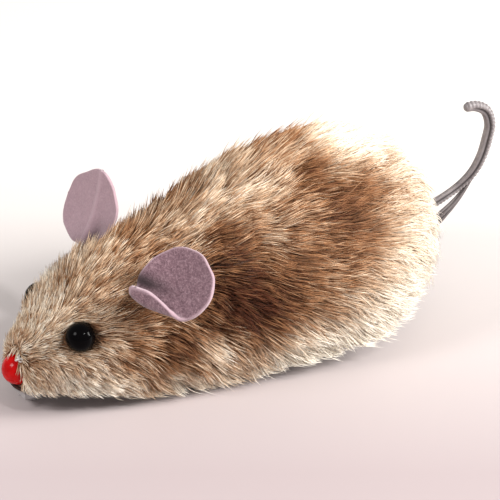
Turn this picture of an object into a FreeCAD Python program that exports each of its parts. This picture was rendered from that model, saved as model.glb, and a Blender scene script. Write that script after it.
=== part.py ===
import FreeCAD, Part
import math
import os
import re

from FreeCAD import Placement, Rotation, Vector

# A clockwork plush mouse. Millimetres, +Z up, nose towards -Y, the mouse's left side is +X.
# The origin is on the floor, close to the middle of the overall length.
# A plush pelt covers a thin moulded shell. A clockwork motor stands on the chassis inside it.

DOC = FreeCAD.newDocument("ClockworkMouse")
SHEET = DOC.addObject("Spreadsheet::Sheet", "Dimensions")

DIMENSIONS = [
    # body coverings
    ("pelt_thickness", 3.5), ("shell_thickness", 1.2), ("fit_gap", 0.1),
    ("hem_height", 2.5), ("hem_rise_start", -20.0), ("hem_rise_angle", 7.8), ("hem_cut_depth", 60.0),
    ("shell_rim_height", 4.5),
    # chassis
    ("chassis_bottom", 4.5), ("chassis_thickness", 1.5), ("chassis_front", -50.0),
    ("tongue_tip", -61.4), ("tongue_half_width", 3.8), ("tongue_bottom", 3.0),
    ("tongue_thickness", 1.4), ("mouth_gap", 0.4),
    ("glide_radius", 1.6), ("glide_place", -57.6), ("glide_side_place", -54.0), ("glide_side_offset", 2.6),
    # motor frame
    ("plate_inner", 8.0), ("plate_thickness", 1.0), ("plate_front", -9.0), ("plate_rear", 30.5),
    ("plate_top", 32.0), ("plate_clip", 4.0), ("plate_round", 5.0), ("running_gap", 0.05),
    ("pillar_radius", 1.5), ("foot_reach", 2.8), ("foot_length", 4.0), ("foot_thickness", 1.0),
    ("rear_pillar_place", 26.2), ("rear_pillar_height", 7.5),
    ("screw_radius", 0.6), ("screw_head_radius", 1.2), ("screw_head_height", 0.7), ("screw_bite", 3.0),
    # arbors: the drive axle is placed, the others follow it by centre distance and bearing angle
    ("axle_place", 17.0), ("axle_height", 10.0), ("axle_radius", 1.0), ("arbor_radius", 0.75),
    ("arbor_overhang", 0.5), ("second_bearing", 97.7), ("winding_bearing", 197.5),
    ("star_bearing", 19.4), ("gear_module", 0.5), ("pressure_angle", 25.0), ("backlash", 0.06),
    ("great_teeth", 40), ("second_teeth", 36), ("governor_teeth", 24), ("pinion_teeth", 12),
    # wheels
    ("wheel_radius", 8.6), ("tyre_radius", 10.0), ("wheel_inner", 9.9), ("wheel_width", 3.3),
    ("hub_radius", 2.6), ("rim_thickness", 1.4), ("web_thickness", 1.2), ("tyre_shoulder", 0.6),
    ("axle_end", 0.3), ("wheel_slot_gap", 0.5), ("arch_gap", 1.2), ("arch_side_gap", 0.8),
    # mainspring, winding gear and key
    ("spring_strip", 0.3), ("spring_outside", 8.0), ("spring_turns", 10), ("spring_width", 4.0),
    ("spring_side", -7.7), ("winding_radius", 1.5), ("ratchet_teeth", 12), ("ratchet_radius", 4.0),
    ("ratchet_depth", 0.9), ("ratchet_width", 1.1), ("rivet_radius", 0.6), ("spring_anchor_run", 8.5),
    ("key_gap", 1.0), ("key_sleeve_length", 4.5), ("key_wing_radius", 4.0), ("key_wing_offset", 4.2),
    ("key_blade", 2.0), ("key_wing_hole", 1.6), ("key_wing_overlap", 1.6), ("key_bridge", 4.8),
    ("key_sleeve_radius", 2.2), ("key_hole_radius", 3.0),
    # governor
    ("star_points", 10), ("star_radius", 2.9), ("star_root", 1.9), ("verge_height", 22.0),
    ("verge_place", 26.0), ("verge_thickness", 1.4), ("verge_hub_radius", 1.6), ("verge_weight_radius", 3.0),
    ("verge_shoulder_drop", 2.6), ("pallet_gap", 1.05), ("pallet_half_width", 0.45),
    ("verge_pin_radius", 0.5), ("verge_pin_start", 4.5),
    # face
    ("bead_radius", 3.7), ("bead_place", -61.4), ("bead_height", 9.4), ("bead_hole", 0.5),
    ("thread_radius", 0.4), ("thread_run", 4.2), ("eye_radius", 3.5), ("eye_offset", 10.4),
    ("eye_place", -50.15), ("eye_height", 20.1), ("eye_stem_radius", 0.9), ("eye_stem_inner", 3.6),
    ("ear_radius", 8.6), ("ear_felt", 1.8), ("ear_stem_base", 1.6), ("ear_stem_top", 1.2),
    # tail
    ("tail_radius", 1.25), ("tail_arm_half_width", 0.9), ("tail_peg_radius", 1.8),
    ("tail_peg_inner", 36.6), ("tail_peg_height", 18.0), ("tail_block_half_width", 2.4),
    ("tail_block_front", 41.1), ("tail_block_depth", 4.4), ("tail_block_bottom", 12.9),
    ("tail_block_height", 10.8), ("retainer_radius", 3.4), ("retainer_thickness", 1.0),
]

# Body stations from nose to rump: place along Y, half width, height of the widest line,
# height of the back, and height that the lower curve would reach if the hem didn't cut it.
STATIONS = [
    ("snout", -62.5, 5.4, 9.5, 15.6, 4.0),
    ("muzzle", -60.0, 8.0, 10.0, 19.0, 1.0),
    ("cheek", -54.5, 11.0, 10.5, 23.4, -3.0),
    ("brow", -46.0, 14.8, 12.0, 29.0, -6.0),
    ("nape", -36.0, 17.6, 14.0, 33.2, -7.0),
    ("neck", -22.0, 20.3, 16.0, 38.0, -8.0),
    ("shoulder", -8.0, 23.5, 18.0, 43.2, -8.0),
    ("ribs", 8.0, 26.0, 20.0, 47.0, -8.0),
    ("haunch", 22.0, 26.5, 20.0, 47.8, -6.5),
    ("rump", 33.0, 23.0, 21.5, 45.4, 1.0),
    ("stern", 40.5, 16.8, 23.0, 39.5, 7.0),
    ("tail_root", 44.5, 9.0, 22.5, 31.0, 14.0),
]


def fill_sheet():
    """Write every dimension and every station into the sheet, each cell with its alias."""
    cells = list(DIMENSIONS)
    for name, place, half_width, middle, top, bottom in STATIONS:
        cells += [(name + "_place", place), (name + "_half_width", half_width)]
        cells += [(name + "_middle", middle), (name + "_top", top), (name + "_bottom", bottom)]
    for row, (alias, number) in enumerate(cells, start=1):
        SHEET.set("A%d" % row, alias)
        SHEET.set("B%d" % row, str(number))
        SHEET.setAlias("B%d" % row, alias)
    DOC.recompute()
    return [alias for alias, number in cells]


CELLS = {alias: "Dimensions." + alias for alias in fill_sheet()}
SUBPARTS = []


def size(alias):
    """The number that a cell holds."""
    return float(SHEET.get(alias))


def formula(text):
    """Turn a formula over aliases into one over the sheet's cells."""
    return re.sub(r"[a-z][a-z_0-9]*", lambda word: CELLS.get(word.group(), word.group()), text)


def bind(item, **formulas):
    """Tie an object's sizes to the sheet."""
    for name, text in formulas.items():
        item.setExpression(name, formula(text))
    return item


def place(item, x="0", y="0", z="0"):
    """Tie an object's position to the sheet."""
    item.setExpression("Placement.Base.x", formula(x))
    item.setExpression("Placement.Base.y", formula(y))
    item.setExpression("Placement.Base.z", formula(z))
    return item


def cylinder_x(name, radius, x, length, y, z):
    """A cylinder along X from x to x + length, on the axis through y and z."""
    item = bind(DOC.addObject("Part::Cylinder", name), Radius=radius, Height=length)
    item.Placement.Rotation = Rotation(Vector(0, 1, 0), 90)
    return place(item, x, y, z)


def cylinder_z(name, radius, height, x, y, z):
    item = bind(DOC.addObject("Part::Cylinder", name), Radius=radius, Height=height)
    return place(item, x, y, z)


def block(name, x, y, z, length, width, height):
    """A box whose low corner is x, y, z."""
    item = bind(DOC.addObject("Part::Box", name), Length=length, Width=width, Height=height)
    return place(item, x, y, z)


def ball(name, radius, x, y, z):
    return place(bind(DOC.addObject("Part::Sphere", name), Radius=radius), x, y, z)


def fuse(name, *items):
    item = DOC.addObject("Part::MultiFuse", name)
    item.Shapes = list(items)
    return item


def cut(name, base, *tools):
    """Cut tools out of the base, one after the other."""
    for number, tool in enumerate(tools, start=1):
        item = DOC.addObject("Part::Cut", name if number == len(tools) else name + "Step%d" % number)
        item.Base = base
        item.Tool = tool
        base = item
    return base


def common(name, first, second):
    item = DOC.addObject("Part::Common", name)
    item.Base = first
    item.Tool = second
    return item


def shaped(name, shape):
    """A feature for a curved or toothed piece that no primitive fits."""
    item = DOC.addObject("Part::Feature", name)
    item.Shape = shape
    return item


def subpart(item, label):
    """Name an object as one of the toy's pieces."""
    item.Label = label
    SUBPARTS.append(item)
    return item


# ---- body volumes -------------------------------------------------------------------------


def station_wire(place_y, half_width, middle, top, bottom):
    """A closed section of two half ellipses that share the body's widest line."""
    edges = []
    for start, height in ((0, top - middle), (180, middle - bottom)):
        arc = Part.makeCircle(1, Vector(0, 0, 0), Vector(0, -1, 0), start, start + 180)
        stretch = FreeCAD.Matrix()
        stretch.A11 = half_width
        stretch.A33 = height
        arc = arc.transformGeometry(stretch)
        arc.translate(Vector(0, place_y, middle))
        edges.append(arc)
    return Part.Wire(Part.__sortEdges__(edges))


def body_volume(inset):
    """The mouse's body as one solid, its skin moved inwards by the inset."""
    first, last = size("snout_place"), size("tail_root_place")
    shrink = (last - first - 2 * inset) / (last - first)
    wires = []
    for name in [station[0] for station in STATIONS]:
        place_y = first + inset + (size(name + "_place") - first) * shrink
        half_width = size(name + "_half_width") - inset
        top, bottom = size(name + "_top") - inset, size(name + "_bottom") + inset
        wires.append(station_wire(place_y, half_width, size(name + "_middle"), top, bottom))
    return Part.makeLoft(wires, True)


def above(name, volume, height):
    """Keep what lies above a height."""
    low = block(name + "_underside", "-60", "-90", height + " - 60", "120", "180", "60")
    return cut(name + "_above", volume, low)


pelt_inset = size("pelt_thickness")
shell_inset = pelt_inset + size("fit_gap")
cavity_inset = shell_inset + size("shell_thickness")
pelt_outer = shaped("PeltOuter", body_volume(0))
pelt_inner = shaped("PeltInner", body_volume(pelt_inset))
shell_outer = shaped("ShellOuter", body_volume(shell_inset))
shell_inner = shaped("ShellInner", body_volume(cavity_inset))
chassis_edge = shaped("ChassisEdge", body_volume(cavity_inset + size("fit_gap")))

# ---- arbor axes: (y, z) formulas ------------------------------------------------------------

AXLE = ("axle_place", "axle_height")


def meshed(axis, teeth, other_teeth, bearing):
    """The axis of a gear in mesh with the gear on another axis, in the direction of a bearing."""
    reach = "( %s + %s ) * gear_module / 2" % (teeth, other_teeth)
    y = "%s + %s * cos( %s * 1 deg )" % (axis[0], reach, bearing)
    z = "%s + %s * sin( %s * 1 deg )" % (axis[1], reach, bearing)
    return y, z


def meshed_point(axis_point, teeth, other_teeth, bearing):
    reach = (size(teeth) + size(other_teeth)) * size("gear_module") / 2
    angle = math.radians(size(bearing))
    return axis_point[0] + reach * math.cos(angle), axis_point[1] + reach * math.sin(angle)


AXLE_POINT = (size("axle_place"), size("axle_height"))
SECOND = meshed(AXLE, "second_teeth", "pinion_teeth", "second_bearing")
SECOND_POINT = meshed_point(AXLE_POINT, "second_teeth", "pinion_teeth", "second_bearing")
WINDING = meshed(SECOND, "great_teeth", "pinion_teeth", "winding_bearing")
WINDING_POINT = meshed_point(SECOND_POINT, "great_teeth", "pinion_teeth", "winding_bearing")
STAR = meshed(AXLE, "governor_teeth", "pinion_teeth", "star_bearing")
STAR_POINT = meshed_point(AXLE_POINT, "governor_teeth", "pinion_teeth", "star_bearing")
VERGE = ("verge_place", "verge_height")
VERGE_POINT = (size("verge_place"), size("verge_height"))


# ---- toothed and spiral pieces --------------------------------------------------------------


def polar(radius, angle):
    """A point in the YZ plane: the angle is counted from +Y towards +Z, in radians."""
    return Vector(0, radius * math.cos(angle), radius * math.sin(angle))


def arc_between(radius, start, end):
    return Part.Arc(polar(radius, start), polar(radius, (start + end) / 2), polar(radius, end)).toShape()


def extruded(edges, width):
    return Part.Face(Part.Wire(edges)).extrude(Vector(width, 0, 0))


def gear_shape(teeth, width, bearing, bore):
    """A spur gear along +X with a tooth centred on the bearing, in degrees. Each flank is an arc
    through three points of the involute."""
    module = size("gear_module")
    pressure = math.radians(size("pressure_angle"))
    pitch_radius = module * teeth / 2
    base_radius = pitch_radius * math.cos(pressure)
    tip_radius = pitch_radius + 0.9 * module
    root_radius = pitch_radius - 1.25 * module
    pitch_half_angle = (math.pi * module / 2 - size("backlash")) / (2 * pitch_radius)

    def half_angle(radius):
        roll = math.acos(base_radius / radius)
        return pitch_half_angle + math.tan(pressure) - pressure - math.tan(roll) + roll

    low = max(base_radius, root_radius)
    radii = (low, (low + tip_radius) / 2, tip_radius)
    edges = []
    for tooth in range(teeth):
        middle = math.radians(bearing) + 2 * math.pi * tooth / teeth
        rising = [polar(radius, middle - half_angle(radius)) for radius in radii]
        falling = [polar(radius, middle + half_angle(radius)) for radius in reversed(radii)]
        next_low = middle + 2 * math.pi / teeth - half_angle(low)
        if root_radius < base_radius:
            edges.append(Part.makeLine(polar(root_radius, middle - half_angle(low)), rising[0]))
        edges.append(Part.Arc(*rising).toShape())
        half_tip = half_angle(tip_radius)
        edges.append(arc_between(tip_radius, middle - half_tip, middle + half_tip))
        edges.append(Part.Arc(*falling).toShape())
        if root_radius < base_radius:
            edges.append(Part.makeLine(falling[-1], polar(root_radius, middle + half_angle(low))))
        edges.append(arc_between(root_radius, middle + half_angle(low), next_low))
    hole = Part.makeCylinder(bore, width + 2, Vector(-1, 0, 0), Vector(1, 0, 0))
    return extruded(edges, width).cut(hole)


def pierced(shape, width, count, radius, hole_radius):
    """Cut a ring of round lightening holes."""
    for index in range(count):
        at = polar(radius, 2 * math.pi * index / count) - Vector(1, 0, 0)
        shape = shape.cut(Part.makeCylinder(hole_radius, width + 2, at, Vector(1, 0, 0)))
    return shape


def saw_wheel_shape(teeth, tip_radius, root_radius, width, bore):
    """A ratchet wheel: each tooth has one radial face and one sloping face."""
    corners = []
    for tooth in range(teeth):
        angle = 2 * math.pi * tooth / teeth
        corners += [polar(root_radius, angle), polar(tip_radius, angle)]
    corners.append(corners[0])
    blank = Part.Face(Part.makePolygon(corners)).extrude(Vector(width, 0, 0))
    return blank.cut(Part.makeCylinder(bore, width + 2, Vector(-1, 0, 0), Vector(1, 0, 0)))


def star_shape(points, tip_radius, root_radius, width, bore):
    """A star wheel of pointed teeth, each as steep on one side as on the other."""
    corners = []
    for index in range(2 * points):
        radius = tip_radius if index % 2 == 0 else root_radius
        corners.append(polar(radius, math.pi * index / points))
    corners.append(corners[0])
    blank = Part.Face(Part.makePolygon(corners)).extrude(Vector(width, 0, 0))
    return blank.cut(Part.makeCylinder(bore, width + 2, Vector(-1, 0, 0), Vector(1, 0, 0)))


def spiral_shape(inside, outside, turns, strip, width, tail_run):
    """A flat coil of half circles whose centres alternate, with a straight run at its outer end."""
    halves = 2 * turns - 1
    growth = (outside - strip - inside) / halves
    inner_side, outer_side = [], []
    for half in range(halves):
        side = 1 if half % 2 == 0 else -1
        radius = inside + growth * (half + 0.5)
        centre = Vector(0, -side * growth / 2, 0)
        for edges, reach in ((inner_side, radius), (outer_side, radius + strip)):
            start, end = Vector(0, side * reach, 0), Vector(0, -side * reach, 0)
            bulge = Vector(0, 0, side * reach)
            edges.append(Part.Arc(centre + start, centre + bulge, centre + end).toShape())
    ends = [edges[-1].Vertexes for edges in (inner_side, outer_side)]
    inner_end, outer_end = [min((v.Point for v in pair), key=lambda p: p.y) for pair in ends]
    first_inner = max((v.Point for v in inner_side[0].Vertexes), key=lambda p: p.y)
    first_outer = max((v.Point for v in outer_side[0].Vertexes), key=lambda p: p.y)
    down = Vector(0, 0, -tail_run)
    edges = inner_side + outer_side
    edges.append(Part.makeLine(first_inner, first_outer))
    edges.append(Part.makeLine(inner_end, inner_end + down))
    edges.append(Part.makeLine(inner_end + down, outer_end + down))
    edges.append(Part.makeLine(outer_end + down, outer_end))
    return Part.Face(Part.Wire(Part.__sortEdges__(edges))).extrude(Vector(width, 0, 0))


def bar_shape(start, end, half_width, thickness):
    """A flat bar along +X thickness, with round ends at two points of the YZ plane."""
    along = (end - start).normalize()
    across = Vector(0, -along.z, along.y) * half_width
    beyond = along * half_width
    sides = [Part.makeLine(start + across, end + across), Part.makeLine(end - across, start - across)]
    caps = [
        Part.Arc(end + across, end + beyond, end - across).toShape(),
        Part.Arc(start - across, start - beyond, start + across).toShape(),
    ]
    return Part.Face(Part.Wire([sides[0], caps[0], sides[1], caps[1]])).extrude(Vector(thickness, 0, 0))


def at_axis(item, x, point):
    """Put a feature on an arbor axis, its low face at x."""
    item.Placement = Placement(Vector(x, point[0], point[1]), Rotation())
    return item


# ---- wheels and their axle --------------------------------------------------------------------


def make_axle():
    axle = cylinder_x("DriveAxle", "axle_radius", "0 - wheel_inner - wheel_width - axle_end",
                      "2 * ( wheel_inner + wheel_width + axle_end )", *AXLE)
    subpart(axle, "drive_axle")


def make_wheel(side, sign):
    """A moulded wheel with a recessed web, a hub and five holes, and the tyre around its rim."""
    body = DOC.addObject("PartDesign::Body", side + "Wheel")
    rim = bind(body.newObject("PartDesign::AdditiveCylinder", side + "Rim"),
               Radius="wheel_radius", Height="wheel_width")
    recess = bind(body.newObject("PartDesign::SubtractiveCylinder", side + "Recess"),
                  Radius="wheel_radius - rim_thickness", Height="wheel_width - web_thickness")
    recess.setExpression("Placement.Base.z", formula("web_thickness"))
    hub = bind(body.newObject("PartDesign::AdditiveCylinder", side + "Hub"),
               Radius="hub_radius", Height="wheel_width")
    bore = bind(body.newObject("PartDesign::SubtractiveCylinder", side + "Bore"),
                Radius="axle_radius", Height="wheel_width")
    hole = bind(body.newObject("PartDesign::SubtractiveCylinder", side + "WebHole"),
                Radius="hub_radius / 2", Height="wheel_width")
    hole.setExpression("Placement.Base.x", formula("( wheel_radius - rim_thickness + hub_radius ) / 2"))
    pattern = body.newObject("PartDesign::PolarPattern", side + "WebHoles")
    pattern.Originals = [hole]
    axis = [item for item in body.Origin.OriginFeatures if item.Role == "Z_Axis"][0]
    pattern.Axis = (axis, [""])
    pattern.Angle = 360
    pattern.Occurrences = 5
    body.Tip = pattern
    body.Placement.Rotation = Rotation(Vector(0, 1, 0), 90 * sign)
    place(body, ("" if sign > 0 else "0 - ") + "wheel_inner", *AXLE)
    subpart(body, side.lower() + "_wheel")
    low = "wheel_inner" if sign > 0 else "0 - wheel_inner - wheel_width"
    outside = cylinder_x(side + "TyreOutside", "tyre_radius", low, "wheel_width", *AXLE)
    inside = cylinder_x(side + "TyreInside", "wheel_radius", low + " - 1", "wheel_width + 2", *AXLE)
    round_off = DOC.addObject("Part::Fillet", side + "TyreShoulders")
    round_off.Base = outside
    DOC.recompute()
    circles = [index for index, edge in enumerate(outside.Shape.Edges, start=1) if edge.isClosed()]
    shoulder = size("tyre_shoulder")
    round_off.Edges = [(index, shoulder, shoulder) for index in circles]
    subpart(cut(side + "Tyre", round_off, inside), side.lower() + "_tyre")
    return body


def make_train():
    """The gears, pinions and arbors between the mainspring and the governor."""
    teeth = {name: int(size(name + "_teeth")) for name in ("great", "second", "governor", "pinion")}
    arbor, axle, winding = size("arbor_radius"), size("axle_radius"), size("winding_radius")
    second_bearing, star_bearing = size("second_bearing"), size("star_bearing")
    winding_bearing = size("winding_bearing")

    def facing(bearing, name):
        """The bearing that puts a tooth gap opposite the partner's tooth."""
        return bearing + 180 + 180 / teeth[name]

    gears = [
        # label, teeth, x, width, axis, bearing of a tooth, bore
        ("axle_pinion", "pinion", 0.0, 2.2, AXLE_POINT, second_bearing, axle),
        ("governor_gear", "governor", 3.0, 1.5, AXLE_POINT, star_bearing, axle),
        ("second_pinion", "pinion", -2.5, 2.5, SECOND_POINT, winding_bearing, arbor),
        ("second_gear", "second", 0.3, 1.5, SECOND_POINT, facing(second_bearing, "second"), arbor),
        ("great_gear", "great", -2.0, 1.5, WINDING_POINT, facing(winding_bearing, "great"),
         winding + size("running_gap")),
        ("star_pinion", "pinion", 2.8, 2.0, STAR_POINT, facing(star_bearing, "pinion"), arbor),
    ]
    for label, kind, x, width, point, bearing, bore in gears:
        shape = gear_shape(teeth[kind], width, bearing, bore)
        if kind in ("second", "governor"):
            web = size("gear_module") * teeth[kind] / 4 + 0.6
            shape = pierced(shape, width, 5, web, web * 0.3)
        if label == "great_gear":
            below = RIVET - Vector(1, 0, 0)
            shape = shape.cut(Part.makeCylinder(size("rivet_radius"), width + 2, below, Vector(1, 0, 0)))
        title = "".join(word.capitalize() for word in label.split("_"))
        subpart(at_axis(shaped(title, shape), x, point), label)
    span = "2 * ( plate_inner + plate_thickness + arbor_overhang )"
    start = "0 - plate_inner - plate_thickness - arbor_overhang"
    subpart(cylinder_x("SecondArbor", "arbor_radius", start, span, *SECOND), "second_arbor")
    subpart(cylinder_x("StarArbor", "arbor_radius", start, span, *STAR), "star_arbor")


RIVET = polar(7.2, math.radians(75))
CLICK_TIP = polar(4.75, math.radians(36))


def make_winding():
    """The winding arbor, its ratchet wheel, the click on the great gear, the mainspring and the key."""
    outside = "( 0 - ribs_half_width - key_gap - key_sleeve_length )"
    thick = cylinder_x("WindingThick", "winding_radius", outside, "0 - " + outside, *WINDING)
    thin = cylinder_x("WindingThin", "axle_radius", "-1",
                      "1 + plate_inner + plate_thickness + arbor_overhang", *WINDING)
    subpart(fuse("WindingArbor", thick, thin), "winding_arbor")
    ratchet = saw_wheel_shape(int(size("ratchet_teeth")), size("ratchet_radius"),
                              size("ratchet_radius") - size("ratchet_depth"), size("ratchet_width"),
                              size("winding_radius"))
    subpart(at_axis(shaped("RatchetWheel", ratchet), -3.3, WINDING_POINT), "ratchet_wheel")
    rivet_radius = size("rivet_radius")
    click = bar_shape(RIVET, CLICK_TIP, 0.5, 1.0)
    click = click.fuse(Part.makeCylinder(1.2, 1.0, RIVET, Vector(1, 0, 0))).removeSplitter()
    click = click.cut(Part.makeCylinder(rivet_radius, 3, RIVET - Vector(1, 0, 0), Vector(1, 0, 0)))
    subpart(at_axis(shaped("Click", click), -3.1, WINDING_POINT), "click")
    rivet = Part.makeCylinder(rivet_radius, 2.6, RIVET, Vector(1, 0, 0))
    subpart(at_axis(shaped("ClickRivet", rivet), -3.1, WINDING_POINT), "click_rivet")
    spring = spiral_shape(size("winding_radius") + size("fit_gap"), size("spring_outside"),
                          int(size("spring_turns")), size("spring_strip"), size("spring_width"),
                          size("spring_anchor_run"))
    subpart(at_axis(shaped("Mainspring", spring), size("spring_side"), WINDING_POINT), "mainspring")
    sleeve = cylinder_x("KeySleeve", "key_sleeve_radius", outside, "key_sleeve_length", *WINDING)
    blade_x = outside + " - key_wing_radius + key_wing_overlap"
    wings = []
    holes = []
    for name, sign in (("Upper", "+"), ("Lower", "-")):
        height = WINDING[1] + " %s key_wing_offset" % sign
        for group, radius, length, start in (
            (wings, "key_wing_radius", "key_blade", "key_blade / 2"),
            (holes, "key_wing_hole", "key_blade + 2", "key_blade / 2 + 1"),
        ):
            wing = bind(DOC.addObject("Part::Cylinder", name + "KeyRound"), Radius=radius, Height=length)
            wing.Placement.Rotation = Rotation(Vector(1, 0, 0), 90)
            group.append(place(wing, blade_x, WINDING[0] + " + " + start, height))
    bridge = block("KeyBridge", blade_x + " - key_bridge / 2", WINDING[0] + " - key_blade / 2",
                   WINDING[1] + " - key_wing_offset", "key_bridge", "key_blade", "2 * key_wing_offset")
    bored = cylinder_x("KeyBore", "winding_radius", outside, "key_sleeve_length + 1", *WINDING)
    whole = fuse("KeyBlank", sleeve, bridge, *wings)
    subpart(cut("WindingKey", whole, bored, *holes), "winding_key")


def make_governor():
    """The star wheel and the verge that rattles against it."""
    star = star_shape(int(size("star_points")), size("star_radius"), size("star_root"), 1.0,
                      size("arbor_radius"))
    subpart(at_axis(shaped("StarWheel", star), 5.2, STAR_POINT), "star_wheel")
    thick, shoulder_drop = size("verge_thickness"), size("verge_shoulder_drop")
    drop = STAR_POINT[1] - VERGE_POINT[1]
    offset = STAR_POINT[0] - VERGE_POINT[0]
    reach = size("star_radius") + size("pallet_gap")
    sideways = Vector(1, 0, 0)
    hub = Part.makeCylinder(size("verge_hub_radius"), thick, Vector(0, 0, 0), sideways)
    weight = Part.makeCylinder(size("verge_weight_radius"), thick, Vector(0, 0, 1.5), sideways)
    weight = weight.cut(Part.makeBox(3, 8, 4, Vector(-1, -4, -2.5)))
    shoulder = bar_shape(Vector(0, offset - reach, -shoulder_drop), Vector(0, offset + reach, -shoulder_drop),
                         0.6, thick)
    neck = Part.makeBox(thick, 2.0, shoulder_drop, Vector(0, -1.0, -shoulder_drop))
    verge = hub.fuse([weight, shoulder, neck])
    for side in (-1, 1):
        top = Vector(0, offset + side * reach, -shoulder_drop)
        foot = Vector(0, offset + side * reach, drop + 0.4)
        verge = verge.fuse(bar_shape(top, foot, size("pallet_half_width"), thick))
    bore = size("verge_pin_radius") + size("running_gap")
    verge = verge.cut(Part.makeCylinder(bore, 4, Vector(-1, 0, 0), sideways))
    subpart(at_axis(shaped("Verge", verge.removeSplitter()), 5.0, VERGE_POINT), "verge")
    pin = cylinder_x("VergePivot", "verge_pin_radius", "verge_pin_start",
                     "plate_inner + plate_thickness + 0.2 - verge_pin_start", *VERGE)
    subpart(pin, "verge_pivot")


# ---- motor frame --------------------------------------------------------------------------------

PILLARS = [("-6.6", "9"), ("-6", "29"), ("27.6", "28.6"), ("rear_pillar_place", "rear_pillar_height")]


def lateral_edges(item, low_y, high_y, low_z, high_z):
    """The numbers of the straight edges along X that lie within a window of the YZ plane."""
    DOC.recompute()
    found = []
    for number, edge in enumerate(item.Shape.Edges, start=1):
        first, last = edge.Vertexes[0].Point, edge.Vertexes[-1].Point
        inside = low_y < first.y < high_y and low_z < first.z < high_z
        if inside and abs(first.x - last.x) > 0.5 and abs(first.z - last.z) < 0.01:
            found.append(number)
    return found


def plate_blank(side, sign):
    """A plate with two rounded upper corners, and a cut lower rear corner that clears the shell."""
    floor = "chassis_bottom + chassis_thickness"
    low = "plate_inner" if sign > 0 else "0 - plate_inner - plate_thickness"
    plate = block(side + "PlateBlank", low, "plate_front", floor, "plate_thickness",
                  "plate_rear - plate_front", "plate_top - chassis_bottom - chassis_thickness")
    clipped = DOC.addObject("Part::Chamfer", side + "PlateClipped")
    clipped.Base = plate
    clip, bend = size("plate_clip"), size("plate_round")
    clipped.Edges = [(number, clip, clip) for number in lateral_edges(plate, 20, 60, 0, 10)]
    rounded = DOC.addObject("Part::Fillet", side + "PlateRounded")
    rounded.Base = clipped
    rounded.Edges = [(number, bend, bend) for number in lateral_edges(clipped, -60, 60, 25, 60)]
    return rounded


def chassis_screw(name, x, y, reach):
    """A screw from below, its head sunk in the chassis and its shank up into what it holds, and the
    stepped hole that it goes through."""
    shank = cylinder_z(name + "Shank", "screw_radius", reach + " - fit_gap", x, y,
                       "chassis_bottom + fit_gap")
    head = cylinder_z(name + "Head", "screw_head_radius", "screw_head_height", x, y,
                      "chassis_bottom + fit_gap")
    hole = cylinder_z(name + "Hole", "screw_radius", "chassis_thickness + 4", x, y, "chassis_bottom - 1")
    sink = cylinder_z(name + "Sink", "screw_head_radius", "1 + fit_gap + screw_head_height", x, y,
                      "chassis_bottom - 1")
    return fuse(name, shank, head), fuse(name + "Way", hole, sink)


def make_motor_frame():
    """Two plates with bored bearings, held apart by four pillars. Two front feet and the rear lower
    pillar take the screws from the chassis."""
    bearings = [
        ("Axle", "axle_radius + running_gap", AXLE), ("Second", "arbor_radius + running_gap", SECOND),
        ("Star", "arbor_radius + running_gap", STAR),
    ]
    screws, chassis_screws, chassis_holes = [], [], []
    for side, sign in (("Left", 1), ("Right", -1)):
        low = "plate_inner" if sign > 0 else "0 - plate_inner - plate_thickness"
        foot_low = low if sign > 0 else low + " - foot_reach"
        foot = block(side + "Foot", foot_low, "plate_front", "chassis_bottom + chassis_thickness",
                     "foot_reach + plate_thickness", "foot_length", "foot_thickness")
        middle = "( plate_inner + plate_thickness + foot_reach / 2 )"
        screw, foot_hole = chassis_screw(side + "FootScrew", middle if sign > 0 else "0 - " + middle,
                                         "plate_front + foot_length / 2",
                                         "chassis_thickness + foot_thickness + 0.4")
        chassis_screws.append(screw)
        chassis_holes.append(foot_hole)
        winding_bore = "axle_radius" if sign > 0 else "winding_radius"
        through = "plate_thickness + 2"
        holes = [foot_hole]
        for name, radius, axis in bearings + [("Winding", winding_bore + " + running_gap", WINDING)]:
            holes.append(cylinder_x(side + name + "Bearing", radius, low + " - 1", through, *axis))
        if sign > 0:
            holes.append(cylinder_x("VergeSocket", "verge_pin_radius", low + " - 1", through, *VERGE))
        for number, (y, z) in enumerate(PILLARS, start=1):
            name = "%sPillar%d" % (side, number)
            holes.append(cylinder_x(name + "Hole", "screw_radius", low + " - 1", through, y, z))
            shank_x = "plate_inner - screw_bite" if sign > 0 else low
            shank = cylinder_x(name + "Shank", "screw_radius", shank_x, "screw_bite + plate_thickness", y, z)
            head_x = "plate_inner + plate_thickness" if sign > 0 else low + " - screw_head_height"
            head = cylinder_x(name + "Head", "screw_head_radius", head_x, "screw_head_height", y, z)
            screws.append(fuse(name + "Screw", shank, head))
        whole = fuse(side + "PlateWithFoot", plate_blank(side, sign), foot)
        subpart(cut(side + "MotorPlate", whole, *holes), "motor_plate_" + side.lower())
    screw, hole = chassis_screw("RearScrew", "0", "rear_pillar_place", "chassis_thickness + 1.8")
    chassis_screws.append(screw)
    chassis_holes.append(hole)
    pillars = []
    for number, (y, z) in enumerate(PILLARS, start=1):
        solid = cylinder_x("Pillar%d" % number, "pillar_radius", "0 - plate_inner", "2 * plate_inner", y, z)
        bores = []
        for side, x in (("Left", "plate_inner - screw_bite"), ("Right", "0 - plate_inner")):
            bores.append(cylinder_x("Pillar%d%sBore" % (number, side), "screw_radius", x, "screw_bite", y, z))
        if number == len(PILLARS):
            bores.append(screw)
        pillars.append(cut("PillarBored%d" % number, solid, *bores))
    for title, label, pieces in (
        ("MotorPillars", "motor_pillars", pillars),
        ("MotorScrews", "motor_screws", screws),
        ("ChassisScrews", "chassis_screws", chassis_screws),
    ):
        group = DOC.addObject("Part::Compound", title)
        group.Links = pieces
        subpart(group, label)
    return chassis_holes


# ---- chassis, shell and pelt ----------------------------------------------------------------------


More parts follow.
